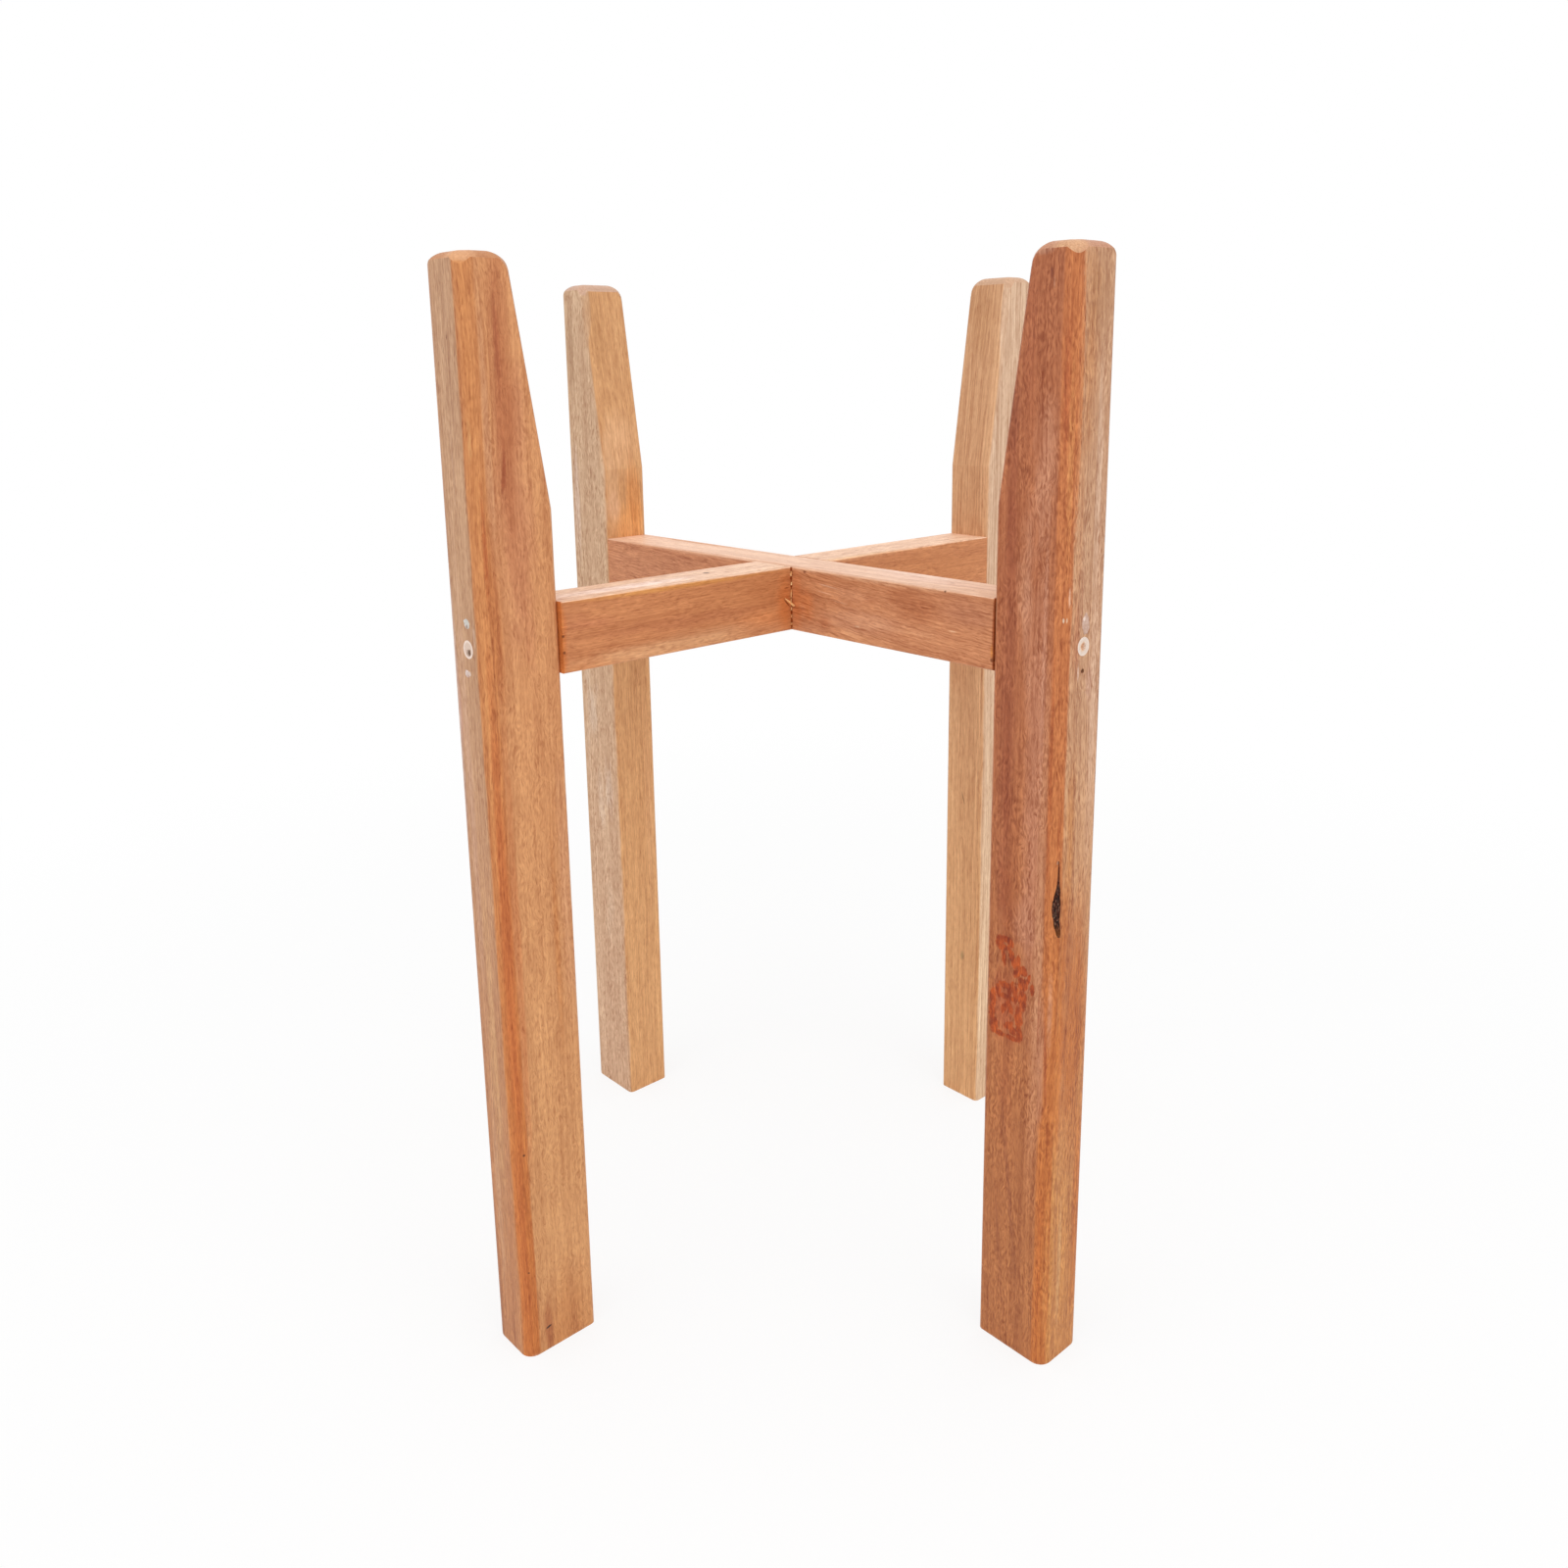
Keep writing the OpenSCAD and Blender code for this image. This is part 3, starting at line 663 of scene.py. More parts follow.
        ((222, 198, 178), (10, 15, 215), (7, 8, 24), 0.5, 0.9, 1.6),
        ((192, 138, 90), (12, 8, 505), (12, 9, 44), 0.6),
        ((224, 200, 178), (26, 15, 265), (9, 8, 34), 0.5, 0.9, 2.2),
        ((222, 194, 170), (20, 15, 205), (6, 8, 30), 0.4, 0.9, 2.2),
        ((222, 190, 162), (14, 15, 130), (6, 8, 30), 0.35, 0.9, 2.2),
        ((176, 138, 104), (30, 15, 490), (6, 8, 40), 0.4),
    ),
    "back_right": (
        # Inner face and its slope, and the side that the camera sees
        ((188, 134, 88), (12, 3, 510), (12, 14, 36), 0.4),
        ((216, 178, 146), (16, -15.6, 545), (12, 5.4, 100), 1.0, 0.2, 0.5),
        ((206, 146, 100), (0, 6, 300), (6, 12, 40), 0.4),
        ((150, 128, 84), (0, -1.1, 100.5), (3, 2.2, 4.6), 0.6),
        ((120, 84, 52), (0, 0.5, 209), (3, 0.5, 5), 0.7, 0.5, 0.3, (0, 0.3, 0)),
    ),
}


def leg_frame(where):
    """Where a leg's own millimetres start, at the foot of its inner face, and its turn."""
    low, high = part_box("leg_" + where)
    turn = Euler((0.0, 0.0, -math.radians(LEG_TURNS[where])))
    middle = (low + high) / 2
    outward = turn.to_matrix().inverted() @ Vector((1.0, 0.0, 0.0))
    return Vector((middle.x, middle.y, low.z)) - outward * LEG_DEPTH * MM / 2, turn


def off_leg(where, point):
    """A point given in a leg's own millimetres, in the stand's frame."""
    origin, turn = leg_frame(where)
    return origin + turn.to_matrix().inverted() @ (Vector(point) * MM)


def into_leg(where, point):
    """A point of the stand's frame in a leg's own millimetres."""
    origin, turn = leg_frame(where)
    return turn.to_matrix() @ (Vector(point) - origin) / MM


# Where resin ran down the front right leg: the middle and half size of each run, as distances out
# from the inner face and up the leg, and how far the run leans outwards as it rises
RESIN_RUNS = (
    # The knob
    ((7.9, 215.0), (2.4, 3.0), 0.0), ((12.0, 217.2), (3.4, 1.6), 0.0),
    ((14.4, 215.8), (1.9, 2.2), 0.0), ((9.8, 212.6), (3.2, 1.7), 0.0),
    ((13.0, 213.0), (2.2, 1.2), 0.0),
    # The runs below it
    ((10.7, 207.9), (1.3, 4.2), -0.15), ((15.9, 208.6), (1.9, 5.6), -0.40),
    ((19.3, 208.2), (1.3, 4.4), -0.1), ((21.6, 204.4), (3.0, 2.8), 0.0),
    ((18.4, 202.0), (2.4, 2.4), 0.0), ((21.8, 197.7), (3.0, 4.4), 0.0),
    ((22.0, 190.3), (2.6, 6.0), 0.0), ((20.2, 179.6), (2.2, 7.4), 0.0),
    ((20.7, 171.5), (2.1, 4.2), 0.0), ((25.2, 201.2), (1.0, 3.2), 0.3),
    ((27.6, 197.0), (1.1, 2.8), 0.0),
    # The net between them
    ((11.8, 194.0), (4.0, 1.8), 0.0), ((7.8, 190.0), (1.8, 3.4), 0.0),
    ((15.1, 193.0), (1.4, 4.2), 0.3), ((13.1, 188.2), (5.0, 1.6), 0.0),
    ((18.0, 191.5), (1.6, 5.2), 0.0), ((11.4, 182.2), (1.7, 3.0), 0.4),
    ((14.7, 184.2), (1.7, 3.4), -0.3),
    # The runs at the inner edge, and the foot of the stain
    ((4.9, 185.6), (1.9, 4.6), 0.0), ((4.4, 178.0), (2.0, 5.6), 0.0),
    ((5.8, 171.6), (2.6, 4.6), 0.0), ((8.4, 168.2), (4.4, 1.5), 0.0),
    ((14.2, 174.2), (2.2, 2.2), 0.6), ((17.0, 172.0), (2.0, 2.6), 0.0),
    ((16.2, 168.4), (3.8, 1.5), 0.0),
)

# How far a run spreads before its ragged edge eats back into it, how soft and how ragged that edge
# is, how deep a run goes and how much it covers, and the clots in it
RESIN_SPREAD = 1.2
RESIN_SOFTNESS = 0.35
RESIN_TEAR = 1.1
RESIN_DEPTH = 3.0
RESIN_SHARE = 0.96
CLOT_SIZE = (2.6, 4.5)
CLOT_LEVELS = (0.40, 0.62)
RESIN_THIN, RESIN_THICK = colour(182, 78, 24), colour(146, 54, 12)

# The wood round the runs, washed with thin resin
RESIN_WASH = Mark((180, 86, 50), (12.5, -LEG_WIDTH / 2, 184.0), (11.0, 3.0, 24.0), 0.5, 0.7, 1.0)


def resin_stain(tree, base, place):
    """Red-orange resin that ran from a small knob and dried in a ragged net of runs."""
    base = add_marks(tree, base, place, (RESIN_WASH,))
    torn = use(tree, EFFECTS["ragged"], Place=place)
    tear = maths(tree, "MULTIPLY", torn["Fine"], RESIN_TEAR)
    resin = 0.0
    for (out, up), (half_out, half_up), lean in RESIN_RUNS:
        run = use(tree, EFFECTS["patch"], Place=place, Centre=(out, -LEG_WIDTH / 2, up),
                  Half_Size=(half_out * RESIN_SPREAD, RESIN_DEPTH, half_up * RESIN_SPREAD),
                  Lean=(lean, 0.0, 0.0), Softness=RESIN_SOFTNESS, Tear=tear)["Mask"]
        resin = maths(tree, "MAXIMUM", resin, run)
    clots = noise(tree, stretched(tree, place, CLOT_SIZE), 2.0)
    tone = mix(tree, step(tree, clots, *CLOT_LEVELS), RESIN_THIN, RESIN_THICK)
    return cover(tree, base, resin, RESIN_SHARE, tone)


def leg_timber(where):
    """One leg's timber: its faces' own tones, its bands and stains, and the grain over them."""
    wood = LEG_WOOD[where]
    material, tree = new_material("timber_leg_" + where)
    place = board_place(tree, *leg_frame(where))
    faces = use(tree, EFFECTS["leg_faces"], Place=place, Corner_Across=wood["corner_across"],
                Corner_Depth=wood["corner_depth"])
    depth, across, up = split(tree, place)
    rise = step(tree, up, *FOOT_TO_HEAD)

    def face_tone(face):
        foot, head = wood[face]
        return mix(tree, rise, colour(*foot), colour(*head))

    tone = mix(tree, faces["Right Side"], face_tone("left"), face_tone("right"))
    for mask, face in (("Inner", "inner"), ("Outer", "outer"), ("Left Corner", "left_corner"),
                       ("Right Corner", "right_corner")):
        tone = mix(tree, faces[mask], tone, face_tone(face))
    tone = add_marks(tree, tone, place, LEG_MARKS[where])
    sanded = add_marks(tree, colour(*wood["crown"]), place, wood["crown_marks"])
    tone = mix(tree, faces["Crown"], tone, sanded)
    if where == "front_right":
        tone = resin_stain(tree, tone, place)

    # The grain runs up the sloping face too
    leaning = maths(tree, "MULTIPLY", faces["Inner"],
                    maths(tree, "SUBTRACT", faces["Skin"], depth))
    sloped = join(tree, maths(tree, "ADD", depth, leaning), across, up)
    grain = lay_grain(tree, sloped, tone, wood, faces["Side"])
    base = cover(tree, grain["Colour"], faces["Crown"], CROWN_SANDED, tone)
    worn = use(tree, EFFECTS["worn_edge"], Place=place)["Mask"]
    base = cover(tree, base, worn, wood["worn"], RUBBED_WOOD)
    finish_timber(tree, base, grain, LEG_ROUGHNESS, LEG_BUMP)
    return material


# Each rail's wood: the tones of its sides, its top and its cut ends, which way it runs, and its
# grain; the top's tone is paler wood with painted top light and sheen on it. Its seam is how far
# along it the half lap's near edge lies.
RAIL_WOOD = {
    "lower": {
        "side": (204, 133, 85), "top": (239, 196, 164), "end": (232, 142, 76),
        "along": (1, 0, 0), "across": (0, 1, 0), "seam": -9.5, "grain_lean": 0.0,
        "grain_from": (300.0, 0.0, 0.0), "band_width": 5.0, "bands": 0.6,
        "plain_grain": Grain(0.55, 0.62, 0.40, 2.0, 0.32, 0.08),
        "lively_grain": Grain(0.95, 0.95, 0.80, 2.5, 0.32, 0.10),
    },
    "upper": {
        "side": (202, 134, 92), "top": (238, 194, 164), "end": (196, 112, 60),
        "along": (0, 1, 0), "across": (1, 0, 0), "seam": -16.0, "grain_lean": 0.08,
        "grain_from": (400.0, 0.0, 0.0), "band_width": 5.0, "bands": 0.6,
        "plain_grain": Grain(0.85, 1.15, 0.50, 3.0, 0.25, 0.08),
        "lively_grain": Grain(0.75, 0.55, 0.45, 2.5, 0.25, 0.05),
    },
}

# The bands, stains and specks of each rail, as the rows of Mark
RAIL_MARKS = {
    "lower": (
        # Side that faces the camera
        ((178, 104, 66), (-14.5, 15, -85), (6, 4.5, 100), 0.45, 0.9, 1.2),
        ((184, 112, 72), (-14.5, 24, -143), (4, 6, 12), 0.55, 0.9, 1.2),
        ((232, 154, 98), (-14.5, 8, -28), (4, 7, 22), 0.75, 0.9, 1.2),
        ((216, 126, 66), (-14.5, 14, -14), (4, 24, 8), 0.65, 0.9, 0.8),
        ((222, 158, 112), (-14.5, 34, 50), (5, 3, 96), 0.7, 0.9, 1.0),
        # A painted highlight along the side's top edge
        ((222, 154, 84), (-14.5, 32.4, -84), (3, 2.0, 82), 0.8, 0.8, 0.6),
        ((220, 164, 118), (-14.5, 4.0, -86), (5, 6.5, 82), 0.75, 0.9, 1.0),
        ((194, 118, 78), (-14.5, 21, -132), (4, 4, 18), 0.5, 0.9, 1.2),
        ((206, 116, 62), (-14.5, 14, -151), (4, 20, 3.4), 0.75, 0.7, 1.2),
        ((208, 124, 64), (-14.5, 16, -151), (4, 26, 1.9), 0.8, 0.6, 0.8),
        ((150, 74, 34), (-14.5, 22.8, -12.6), (2, 0.5, 2.4), 0.8, 0.8, 0.6),
        # Painted shadow of the sliver, below and left of it on the side
        ((122, 58, 22), (-14.5, 14.8, -12.8), (2, 0.9, 3.0), 0.8, 0.8, 0.4, (0, -1.05, 0)),
        ((110, 50, 16), (-14.5, 17.5, -150.6), (1.2, 0.9, 0.8), 0.9, 0.6, 0.4),
        ((110, 50, 16), (-14.5, 9.8, -150.4), (1.2, 1.0, 0.9), 0.9, 0.6, 0.4),
        # Top; its near-white patches are painted top light and sheen
        ((58, 34, 24), (2.9, 33.5, -52.6), (1.7, 2, 2.2), 0.95, 0.5, 0.5),
        ((254, 226, 212), (-2, 33.5, -106), (9, 2, 58), 0.85),
        ((230, 180, 126), (-11.5, 33.5, 30), (4, 2, 84), 0.65, 0.9, 1.2),
        ((226, 176, 148), (11, 33.5, -70), (3, 2, 70), 0.5, 0.9, 1.4),
        # Far half of the side that faces the camera
        ((190, 118, 66), (-14.5, 17, 96), (4, 24, 76), 0.45, 0.8, 0.8),
    ),
    "upper": (
        # Side that faces the camera
        ((184, 112, 74), (-14.5, 12, -80), (6, 5, 50), 0.3, 0.9, 1.2),
        ((174, 100, 60), (-14.5, 24, -104), (4, 11, 26), 0.7, 0.8, 1.2),
        ((216, 152, 110), (-14.5, 11, -104), (4, 4.5, 20), 0.5, 0.9, 1.4),
        ((224, 138, 82), (-14.5, 15, -28), (4, 13, 7), 0.6, 0.9, 1.2),
        ((228, 162, 114), (-14.5, 2, -60), (4, 6, 40), 0.6, 0.9, 1.2),
        ((230, 186, 158), (-14.5, 26.4, -44), (2, 0.5, 10), 0.6, 0.8, 0.7, (0, 0.08, 0)),
        ((226, 180, 150), (-14.5, 22.8, -41), (2, 0.4, 8), 0.5, 0.8, 0.7, (0, 0.08, 0)),
        ((222, 172, 140), (-14.5, 19.2, -52), (2, 0.5, 9), 0.5, 0.8, 0.7, (0, 0.08, 0)),
        ((184, 118, 84), (-14.5, 24, -134), (4, 12, 24), 0.7, 0.9, 1.4),
        ((214, 152, 114), (-14.5, 11, -68), (4, 9, 34), 0.7, 0.9, 1.4),
        ((208, 144, 106), (-14.5, 24, -60), (4, 8, 24), 0.6, 0.9, 1.4),
        ((216, 128, 72), (-14.5, 15, -20), (4, 24, 6.5), 0.65, 0.9, 0.8),
        ((184, 106, 62), (-14.5, 6, -41), (4, 5, 7), 0.6, 0.9, 1.4),
        ((180, 108, 70), (-14.5, 23, -74), (4, 3.5, 9), 0.5, 0.9, 1.4),
        # A dark line where the rail meets the leg: dark glue with painted shade of the gap
        ((150, 72, 30), (-14.5, 16, -151), (1.6, 24, 1.2), 0.85, 0.5, 0.5),
        ((214, 134, 62), (-14.5, 8.6, -150.0), (2, 5.4, 1.0), 0.7, 0.7, 0.8),
        ((116, 52, 16), (-14.5, 4.8, -150.4), (2, 1.4, 1.6), 0.85, 0.6, 0.5),
        # Two pale bands along the side's top edge: painted highlight
        ((224, 170, 132), (-14.5, 34, -70), (5, 3.4, 100), 0.75, 0.9, 1.0),
        ((226, 172, 136), (-14.5, 34, 80), (5, 3.2, 90), 0.7, 0.9, 1.0),
        ((122, 60, 34), (-14.5, 32.0, -26.3), (2, 0.9, 1.6), 0.8, 0.7, 0.6),
        ((104, 60, 36), (-14.5, 33.0, -121.9), (2, 0.7, 0.9), 0.85, 0.6, 0.4),
        ((224, 186, 156), (-14.5, 8.4, -64.6), (2, 0.5, 2.6), 0.6, 0.8, 0.8),
        ((222, 178, 142), (-14.5, 14.8, -127), (2, 0.5, 3.6), 0.6, 0.8, 0.8),
        # Top; its near-white patches are painted top light and sheen
        ((120, 82, 62), (4.1, 33.5, -110.5), (1.6, 2, 1.6), 0.8),
        ((246, 206, 184), (4, 33.5, -105), (11, 2, 66), 0.6),
        ((222, 164, 124), (-12, 33.5, 0), (3.6, 2, 158), 0.85, 0.9, 1.0),
        ((254, 222, 204), (11, 33.5, -85), (4, 2, 54), 0.8, 0.9, 1.2),
        ((218, 154, 106), (11.5, 33.5, 92), (4, 2, 62), 0.85, 0.9, 1.2),
        # Far half of the side that faces the camera
        ((180, 116, 82), (-14.5, 17, 96), (4, 24, 76), 0.35, 0.8, 0.8),
    ),
}

# Where the rails' side that faces the camera lies
RAIL_SIDE = -14.5

# The seam where the rails cross: its line's and its torn places' tones and half widths, how ragged
# both are, and each torn place's height and half length
SEAM_TONE, SEAM_HALF_WIDTH = (164, 84, 30), 0.7
TEAR_TONE, TEAR_HALF_WIDTH = (150, 62, 8), 1.0
SEAM_RAGGED = 1.2
SEAM_TEARS = ((32.6, 1.26), (27.7, 1.68), (23.4, 1.12), (18.4, 0.84), (9.4, 1.54), (5.4, 1.82),
              (2.2, 0.98))

# How far from a rail's end its cut end's tone starts and is full
CUT_END = (0.2, 0.1)


def seam_marks(seam):
    """Dark torn wood along the near seam of the half lap, that far along the rail."""
    line = Mark(SEAM_TONE, (RAIL_SIDE, 16.0, seam), (SEAM_HALF_WIDTH, 60.0, SEAM_HALF_WIDTH),
                share=0.8, softness=0.8, tear=SEAM_RAGGED)
    tears = (Mark(TEAR_TONE, (RAIL_SIDE, up, seam),
                  (TEAR_HALF_WIDTH, half_length, TEAR_HALF_WIDTH),
                  share=0.9, softness=0.5, tear=SEAM_RAGGED) for up, half_length in SEAM_TEARS)
    return (line, *tears)


def rail_timber(which):
    """A cross rail's timber: planed sides, and a paler top, made paler still with painted top light
    and sheen.
    """
    wood = RAIL_WOOD[which]
    low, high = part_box(which + "_cross_rail")
    centre = (low + high) / 2
    material, tree = new_material("timber_rail_" + which)
    at = put(tree, "ShaderNodeTexCoord").outputs["Object"]
    offset = vectors(tree, "SUBTRACT", at, (centre.x, centre.y, low.z))
    offset = vectors(tree, "DIVIDE", offset, (MM, MM, MM))
    across = vectors(tree, "DOT_PRODUCT", offset, wood["across"])
    along = vectors(tree, "DOT_PRODUCT", offset, wood["along"])
    up = split(tree, offset)[2]
    place = join(tree, across, up, along)

    # The top's tone holds painted top light and sheen as well as the wood's own paler tone
    top = step(tree, facing_up(tree), *RAIL_TOP_BEGINS)
    tone = mix(tree, top, colour(*wood["side"]), colour(*wood["top"]))
    half_length = (Vector(wood["along"]) @ (high - low)) / 2 / MM
    starts, full = (half_length - inset for inset in CUT_END)
    cut_end = step(tree, maths(tree, "ABSOLUTE", along), starts, full)
    tone = mix(tree, cut_end, tone, colour(*wood["end"]))
    tone = add_marks(tree, tone, place, (*RAIL_MARKS[which], *seam_marks(wood["seam"])))

    # On the sides the grain leans a little from the rail's length
    lean = maths(tree, "MULTIPLY", maths(tree, "SUBTRACT", top, 1.0), wood["grain_lean"])
    leaned = join(tree, across, maths(tree, "MULTIPLY_ADD", along, lean, up), along)
    grain = lay_grain(tree, leaned, tone, wood, top)
    finish_timber(tree, grain["Colour"], grain, RAIL_ROUGHNESS, RAIL_BUMP)
    return material


# ---------------------------------------------------------------- filler and steel


# Each screw's filler: its tones at the rim, in the middle and in the pit where it sank, and the
# pit's middle off the hole's, to the right and up as seen from outside, with its half size
ScrewFiller = namedtuple("ScrewFiller", "rim middle pit pit_off pit_half")
SCREW_FILLERS = {
    "front_left": ScrewFiller((244, 222, 208), (224, 198, 180), (118, 80, 52),
                              (0.9, -1.2), (1.53, 1.87)),
    "front_right": ScrewFiller((238, 218, 204), (232, 210, 194), (236, 194, 160),
                               (-0.3, 0.0), (2.07, 2.53)),
    "back_left": ScrewFiller((238, 214, 194), (226, 198, 176), (206, 168, 138),
                             (0.4, 0.6), (1.26, 1.54)),
    "back_right": ScrewFiller((238, 214, 194), (226, 198, 176), (202, 162, 132),
                              (-0.5, -0.4), (1.44, 1.76)),
}
SCREW_HEIGHT = 360.0

# How far from the hole's middle the rim's tone begins and is full, and how uneven that is; between
# which depths in the leg the filler counts as sunk, and how much of the pit's tone it then has
FILLER_RIM = (2.9, 3.5)
RIM_UNEVEN = 0.8
FILLER_SUNK = (LEG_DEPTH - 1.0, LEG_DEPTH - 0.4)
SUNK_SHARE = 0.7

# Chalky filler: the size of its grains, the levels of noise over which dark ones show and how much
# of their tone they have, how rough and how deeply pitted it is, and its clouds
CHALK_SIZE = (0.6, 0.6)
CHALK_LEVELS = (0.58, 0.75)
CHALK_SHARE = 0.45
CHALK_DARK = colour(190, 144, 114)
CHALK_ROUGHNESS = 0.75
CHALK_PITS = 0.25 * MM
CLOUD_SIZE = (1.6, 1.6)
CLOUD_LEVELS = (0.40, 0.68)


def filler_surface(tree, at, base):
    """Dried filler, chalky and finely pitted."""
    grainy = noise(tree, stretched(tree, at, CHALK_SIZE), 4.0, 0.65)
    base = mix(tree, step(tree, grainy, *CHALK_LEVELS, 0.0, CHALK_SHARE), base, CHALK_DARK)
    finish_surface(tree, base, CHALK_ROUGHNESS, grainy, CHALK_PITS)


def clouded(tree, at, tint, pale):
    """Filler's own colour, clouded from its tint to a paler one."""
    cloudy = noise(tree, stretched(tree, at, CLOUD_SIZE), 2.0)
    return mix(tree, step(tree, cloudy, *CLOUD_LEVELS), colour(*tint), colour(*pale))


def screw_filler(where):
    """Filler over a screw: a pale smooth rim, a duller middle, and the pit where it sank."""
    filler = SCREW_FILLERS[where]
    material, tree = new_material("screw_filler_" + where)
    place = board_place(tree, *leg_frame(where))
    low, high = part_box("screw_filler_" + where)
    hole = into_leg(where, (low + high) / 2)
    torn = use(tree, EFFECTS["ragged"], Place=place)
    depth, across, up = split(tree, place)
    from_middle = vectors(tree, "LENGTH", join(tree, 0.0, maths(tree, "SUBTRACT", across, hole.y),
                                               maths(tree, "SUBTRACT", up, SCREW_HEIGHT)))
    from_middle = maths(tree, "MULTIPLY_ADD", torn["Fine"], RIM_UNEVEN, from_middle)
    base = mix(tree, step(tree, from_middle, *FILLER_RIM), colour(*filler.middle),
               colour(*filler.rim))
    right, above = filler.pit_off
    pit = Mark(filler.pit, (LEG_DEPTH, hole.y + right, SCREW_HEIGHT + above),
               (3.0, *filler.pit_half), 1.0, 0.4, 1.0)
    base = add_marks(tree, base, place, (pit,))
    sunk = step(tree, depth, *FILLER_SUNK, SUNK_SHARE, 0.0)
    filler_surface(tree, place, mix(tree, sunk, base, colour(*filler.pit)))
    return material


def plain_filler(name, tint, pale):
    """Filler in the small holes."""
    material, tree = new_material(name)
    at = stand_place(tree)
    filler_surface(tree, at, clouded(tree, at, tint, pale))
    return material


# Plated steel: the size of its draw marks and of its dull spots, the levels of noise over which the
# spots show, how rough it is and how much rougher in the marks, and how deep these are
DRAWN_SIZE = (0.25, 0.25)
DULL_SIZE = (2.5, 2.5)
DULL_LEVELS = (0.45, 0.7)
DULL_STEEL = colour(120, 112, 104)
STEEL_ROUGHNESS, DRAWN_ROUGHNESS = 0.2, 0.3
DRAWN_DEPTH = 0.03 * MM


def plated_steel(name, tint):
    """Plated steel of the hidden fixings: fine draw marks and a few dull spots."""
    material, tree = new_material(name)
    at = stand_place(tree)
    drawn = noise(tree, stretched(tree, at, DRAWN_SIZE), 3.0)
    dull = noise(tree, stretched(tree, at, DULL_SIZE), 2.0)
    base = mix(tree, step(tree, dull, *DULL_LEVELS), colour(*tint), DULL_STEEL)
    roughness = maths(tree, "MULTIPLY_ADD", drawn, DRAWN_ROUGHNESS, STEEL_ROUGHNESS)
    finish_surface(tree, base, roughness, drawn, DRAWN_DEPTH, Metallic=1.0)
    return material


# ---------------------------------------------------------------- small pieces on the frame


def loft(form, rings):
    """A closed skin over rings of points, each ring in the same order."""
    loops = [[form.verts.new(point) for point in ring] for ring in rings]
    for near, far in zip(loops, loops[1:]):
        for first in range(len(near)):
            second = (first + 1) % len(near)
            form.faces.new((near[first], near[second], far[second], far[first]))
    form.faces.new(reversed(loops[0]))
    form.faces.new(loops[-1])


def add_piece(name, form, material):
    """Makes a piece that moves with the stand, from a bmesh."""
    bmesh.ops.recalc_face_normals(form, faces=form.faces)
    mesh = bpy.data.meshes.new(name)
    form.to_mesh(mesh)
    form.free()
    for face in mesh.polygons:
        face.use_smooth = True
    mesh.materials.append(material)
    piece = bpy.data.objects.new(name, mesh)
    bpy.context.scene.collection.objects.link(piece)
    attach(piece, "root")


# The open pocket in the front right leg's near corner: the middle and radius of that corner, and
# the arcs that bound the pocket along it
POCKET_CORNER = (33.5, -8.5)
CORNER_RADIUS = 6.5
POCKET_HEIGHT = 244.0
POCKET_ARC = 107.0
POCKET_ARC_OFF = 105.3

# The gum's edges: the height, and how far it reaches round the corner, towards the side that
# faces the camera and towards the outer face
GUM_EDGES = (
    (263.0, 0.20, 0.45), (260.0, 0.08, 0.75), (257.0, 0.05, 0.90), (254.0, 0.00, 1.15),
    (252.0, -0.20, 1.30), (250.0, -0.55, 1.48), (247.8, -1.00, 1.62), (245.8, -1.45, 1.70),
    (242.9, -1.90, 1.80), (239.6, -2.00, 1.75), (236.0, -1.65, 1.60), (233.5, -1.15, 1.58),
    (231.5, -0.80, 1.92), (229.5, -0.45, 2.15), (227.4, 0.30, 2.20), (226.0, 1.20, 2.00),
)

# The gum's body: how far its top and its back lie below the corner's round, how far its lumps
# swell and how closely they follow each other round the corner and up it, and how far it rises
# where it runs over the pocket's edge, from how near that edge
GUM_PARTS = 8
GUM_SUNK = 0.15
GUM_BACK = 2.1
GUM_SWELL = 0.25
GUM_LUMPS_ROUND, GUM_LUMPS_UP, GUM_LUMPS_LAYER = 1.6, 0.55, 3.0
GUM_OVERFLOW = 0.3
OVERFLOW_STARTS = 0.2

# The healed wood beside the gum: how thick it is, how far it stands proud, how far it laps the gum
# and the wood outside the pocket, and the least that it reaches
LIP_PARTS = 3
LIP_THICKNESS = 0.8
LIP_PROUD = 0.03
LIP_OVERLAP = 0.3
LIP_LEAST = 0.02

# The gum's finish: its clots and its glints, each with their size and the levels of noise over
# which they show, the glints being pale flecks of reflected light painted into its colour; the
# heights between which its thin foot ends, and between which the crack above it starts, each with
# the share of its tone; then how rough, how shiny and how lumpy the gum is
GUM_CLOTS, GUM_CLOT_LEVELS = (0.7, 1.6), (0.40, 0.62)
GUM_BLACK, GUM_BROWN = colour(30, 16, 10), colour(78, 38, 26)
PAINTED_GLINTS, PAINTED_GLINT_LEVELS, PAINTED_GLINT_SHARE = (0.45, 1.6), (0.54, 0.66), 0.7
PAINTED_GLINT_TONE = colour(150, 112, 92)
THIN_FOOT, THIN_SHARE, THIN_TONE = (228.0, 233.0), 0.6, colour(120, 64, 20)
CRACK_STARTS, CRACK_SHARE, CRACK_TONE = (252.0, 255.0), 0.85, colour(92, 42, 22)
GUM_ROUGH_LEVELS, GUM_SMOOTH, GUM_ROUGH = (0.35, 0.65), 0.45, 0.7
GUM_SHINE = 0.12
GUM_RELIEF = 0.3 * MM


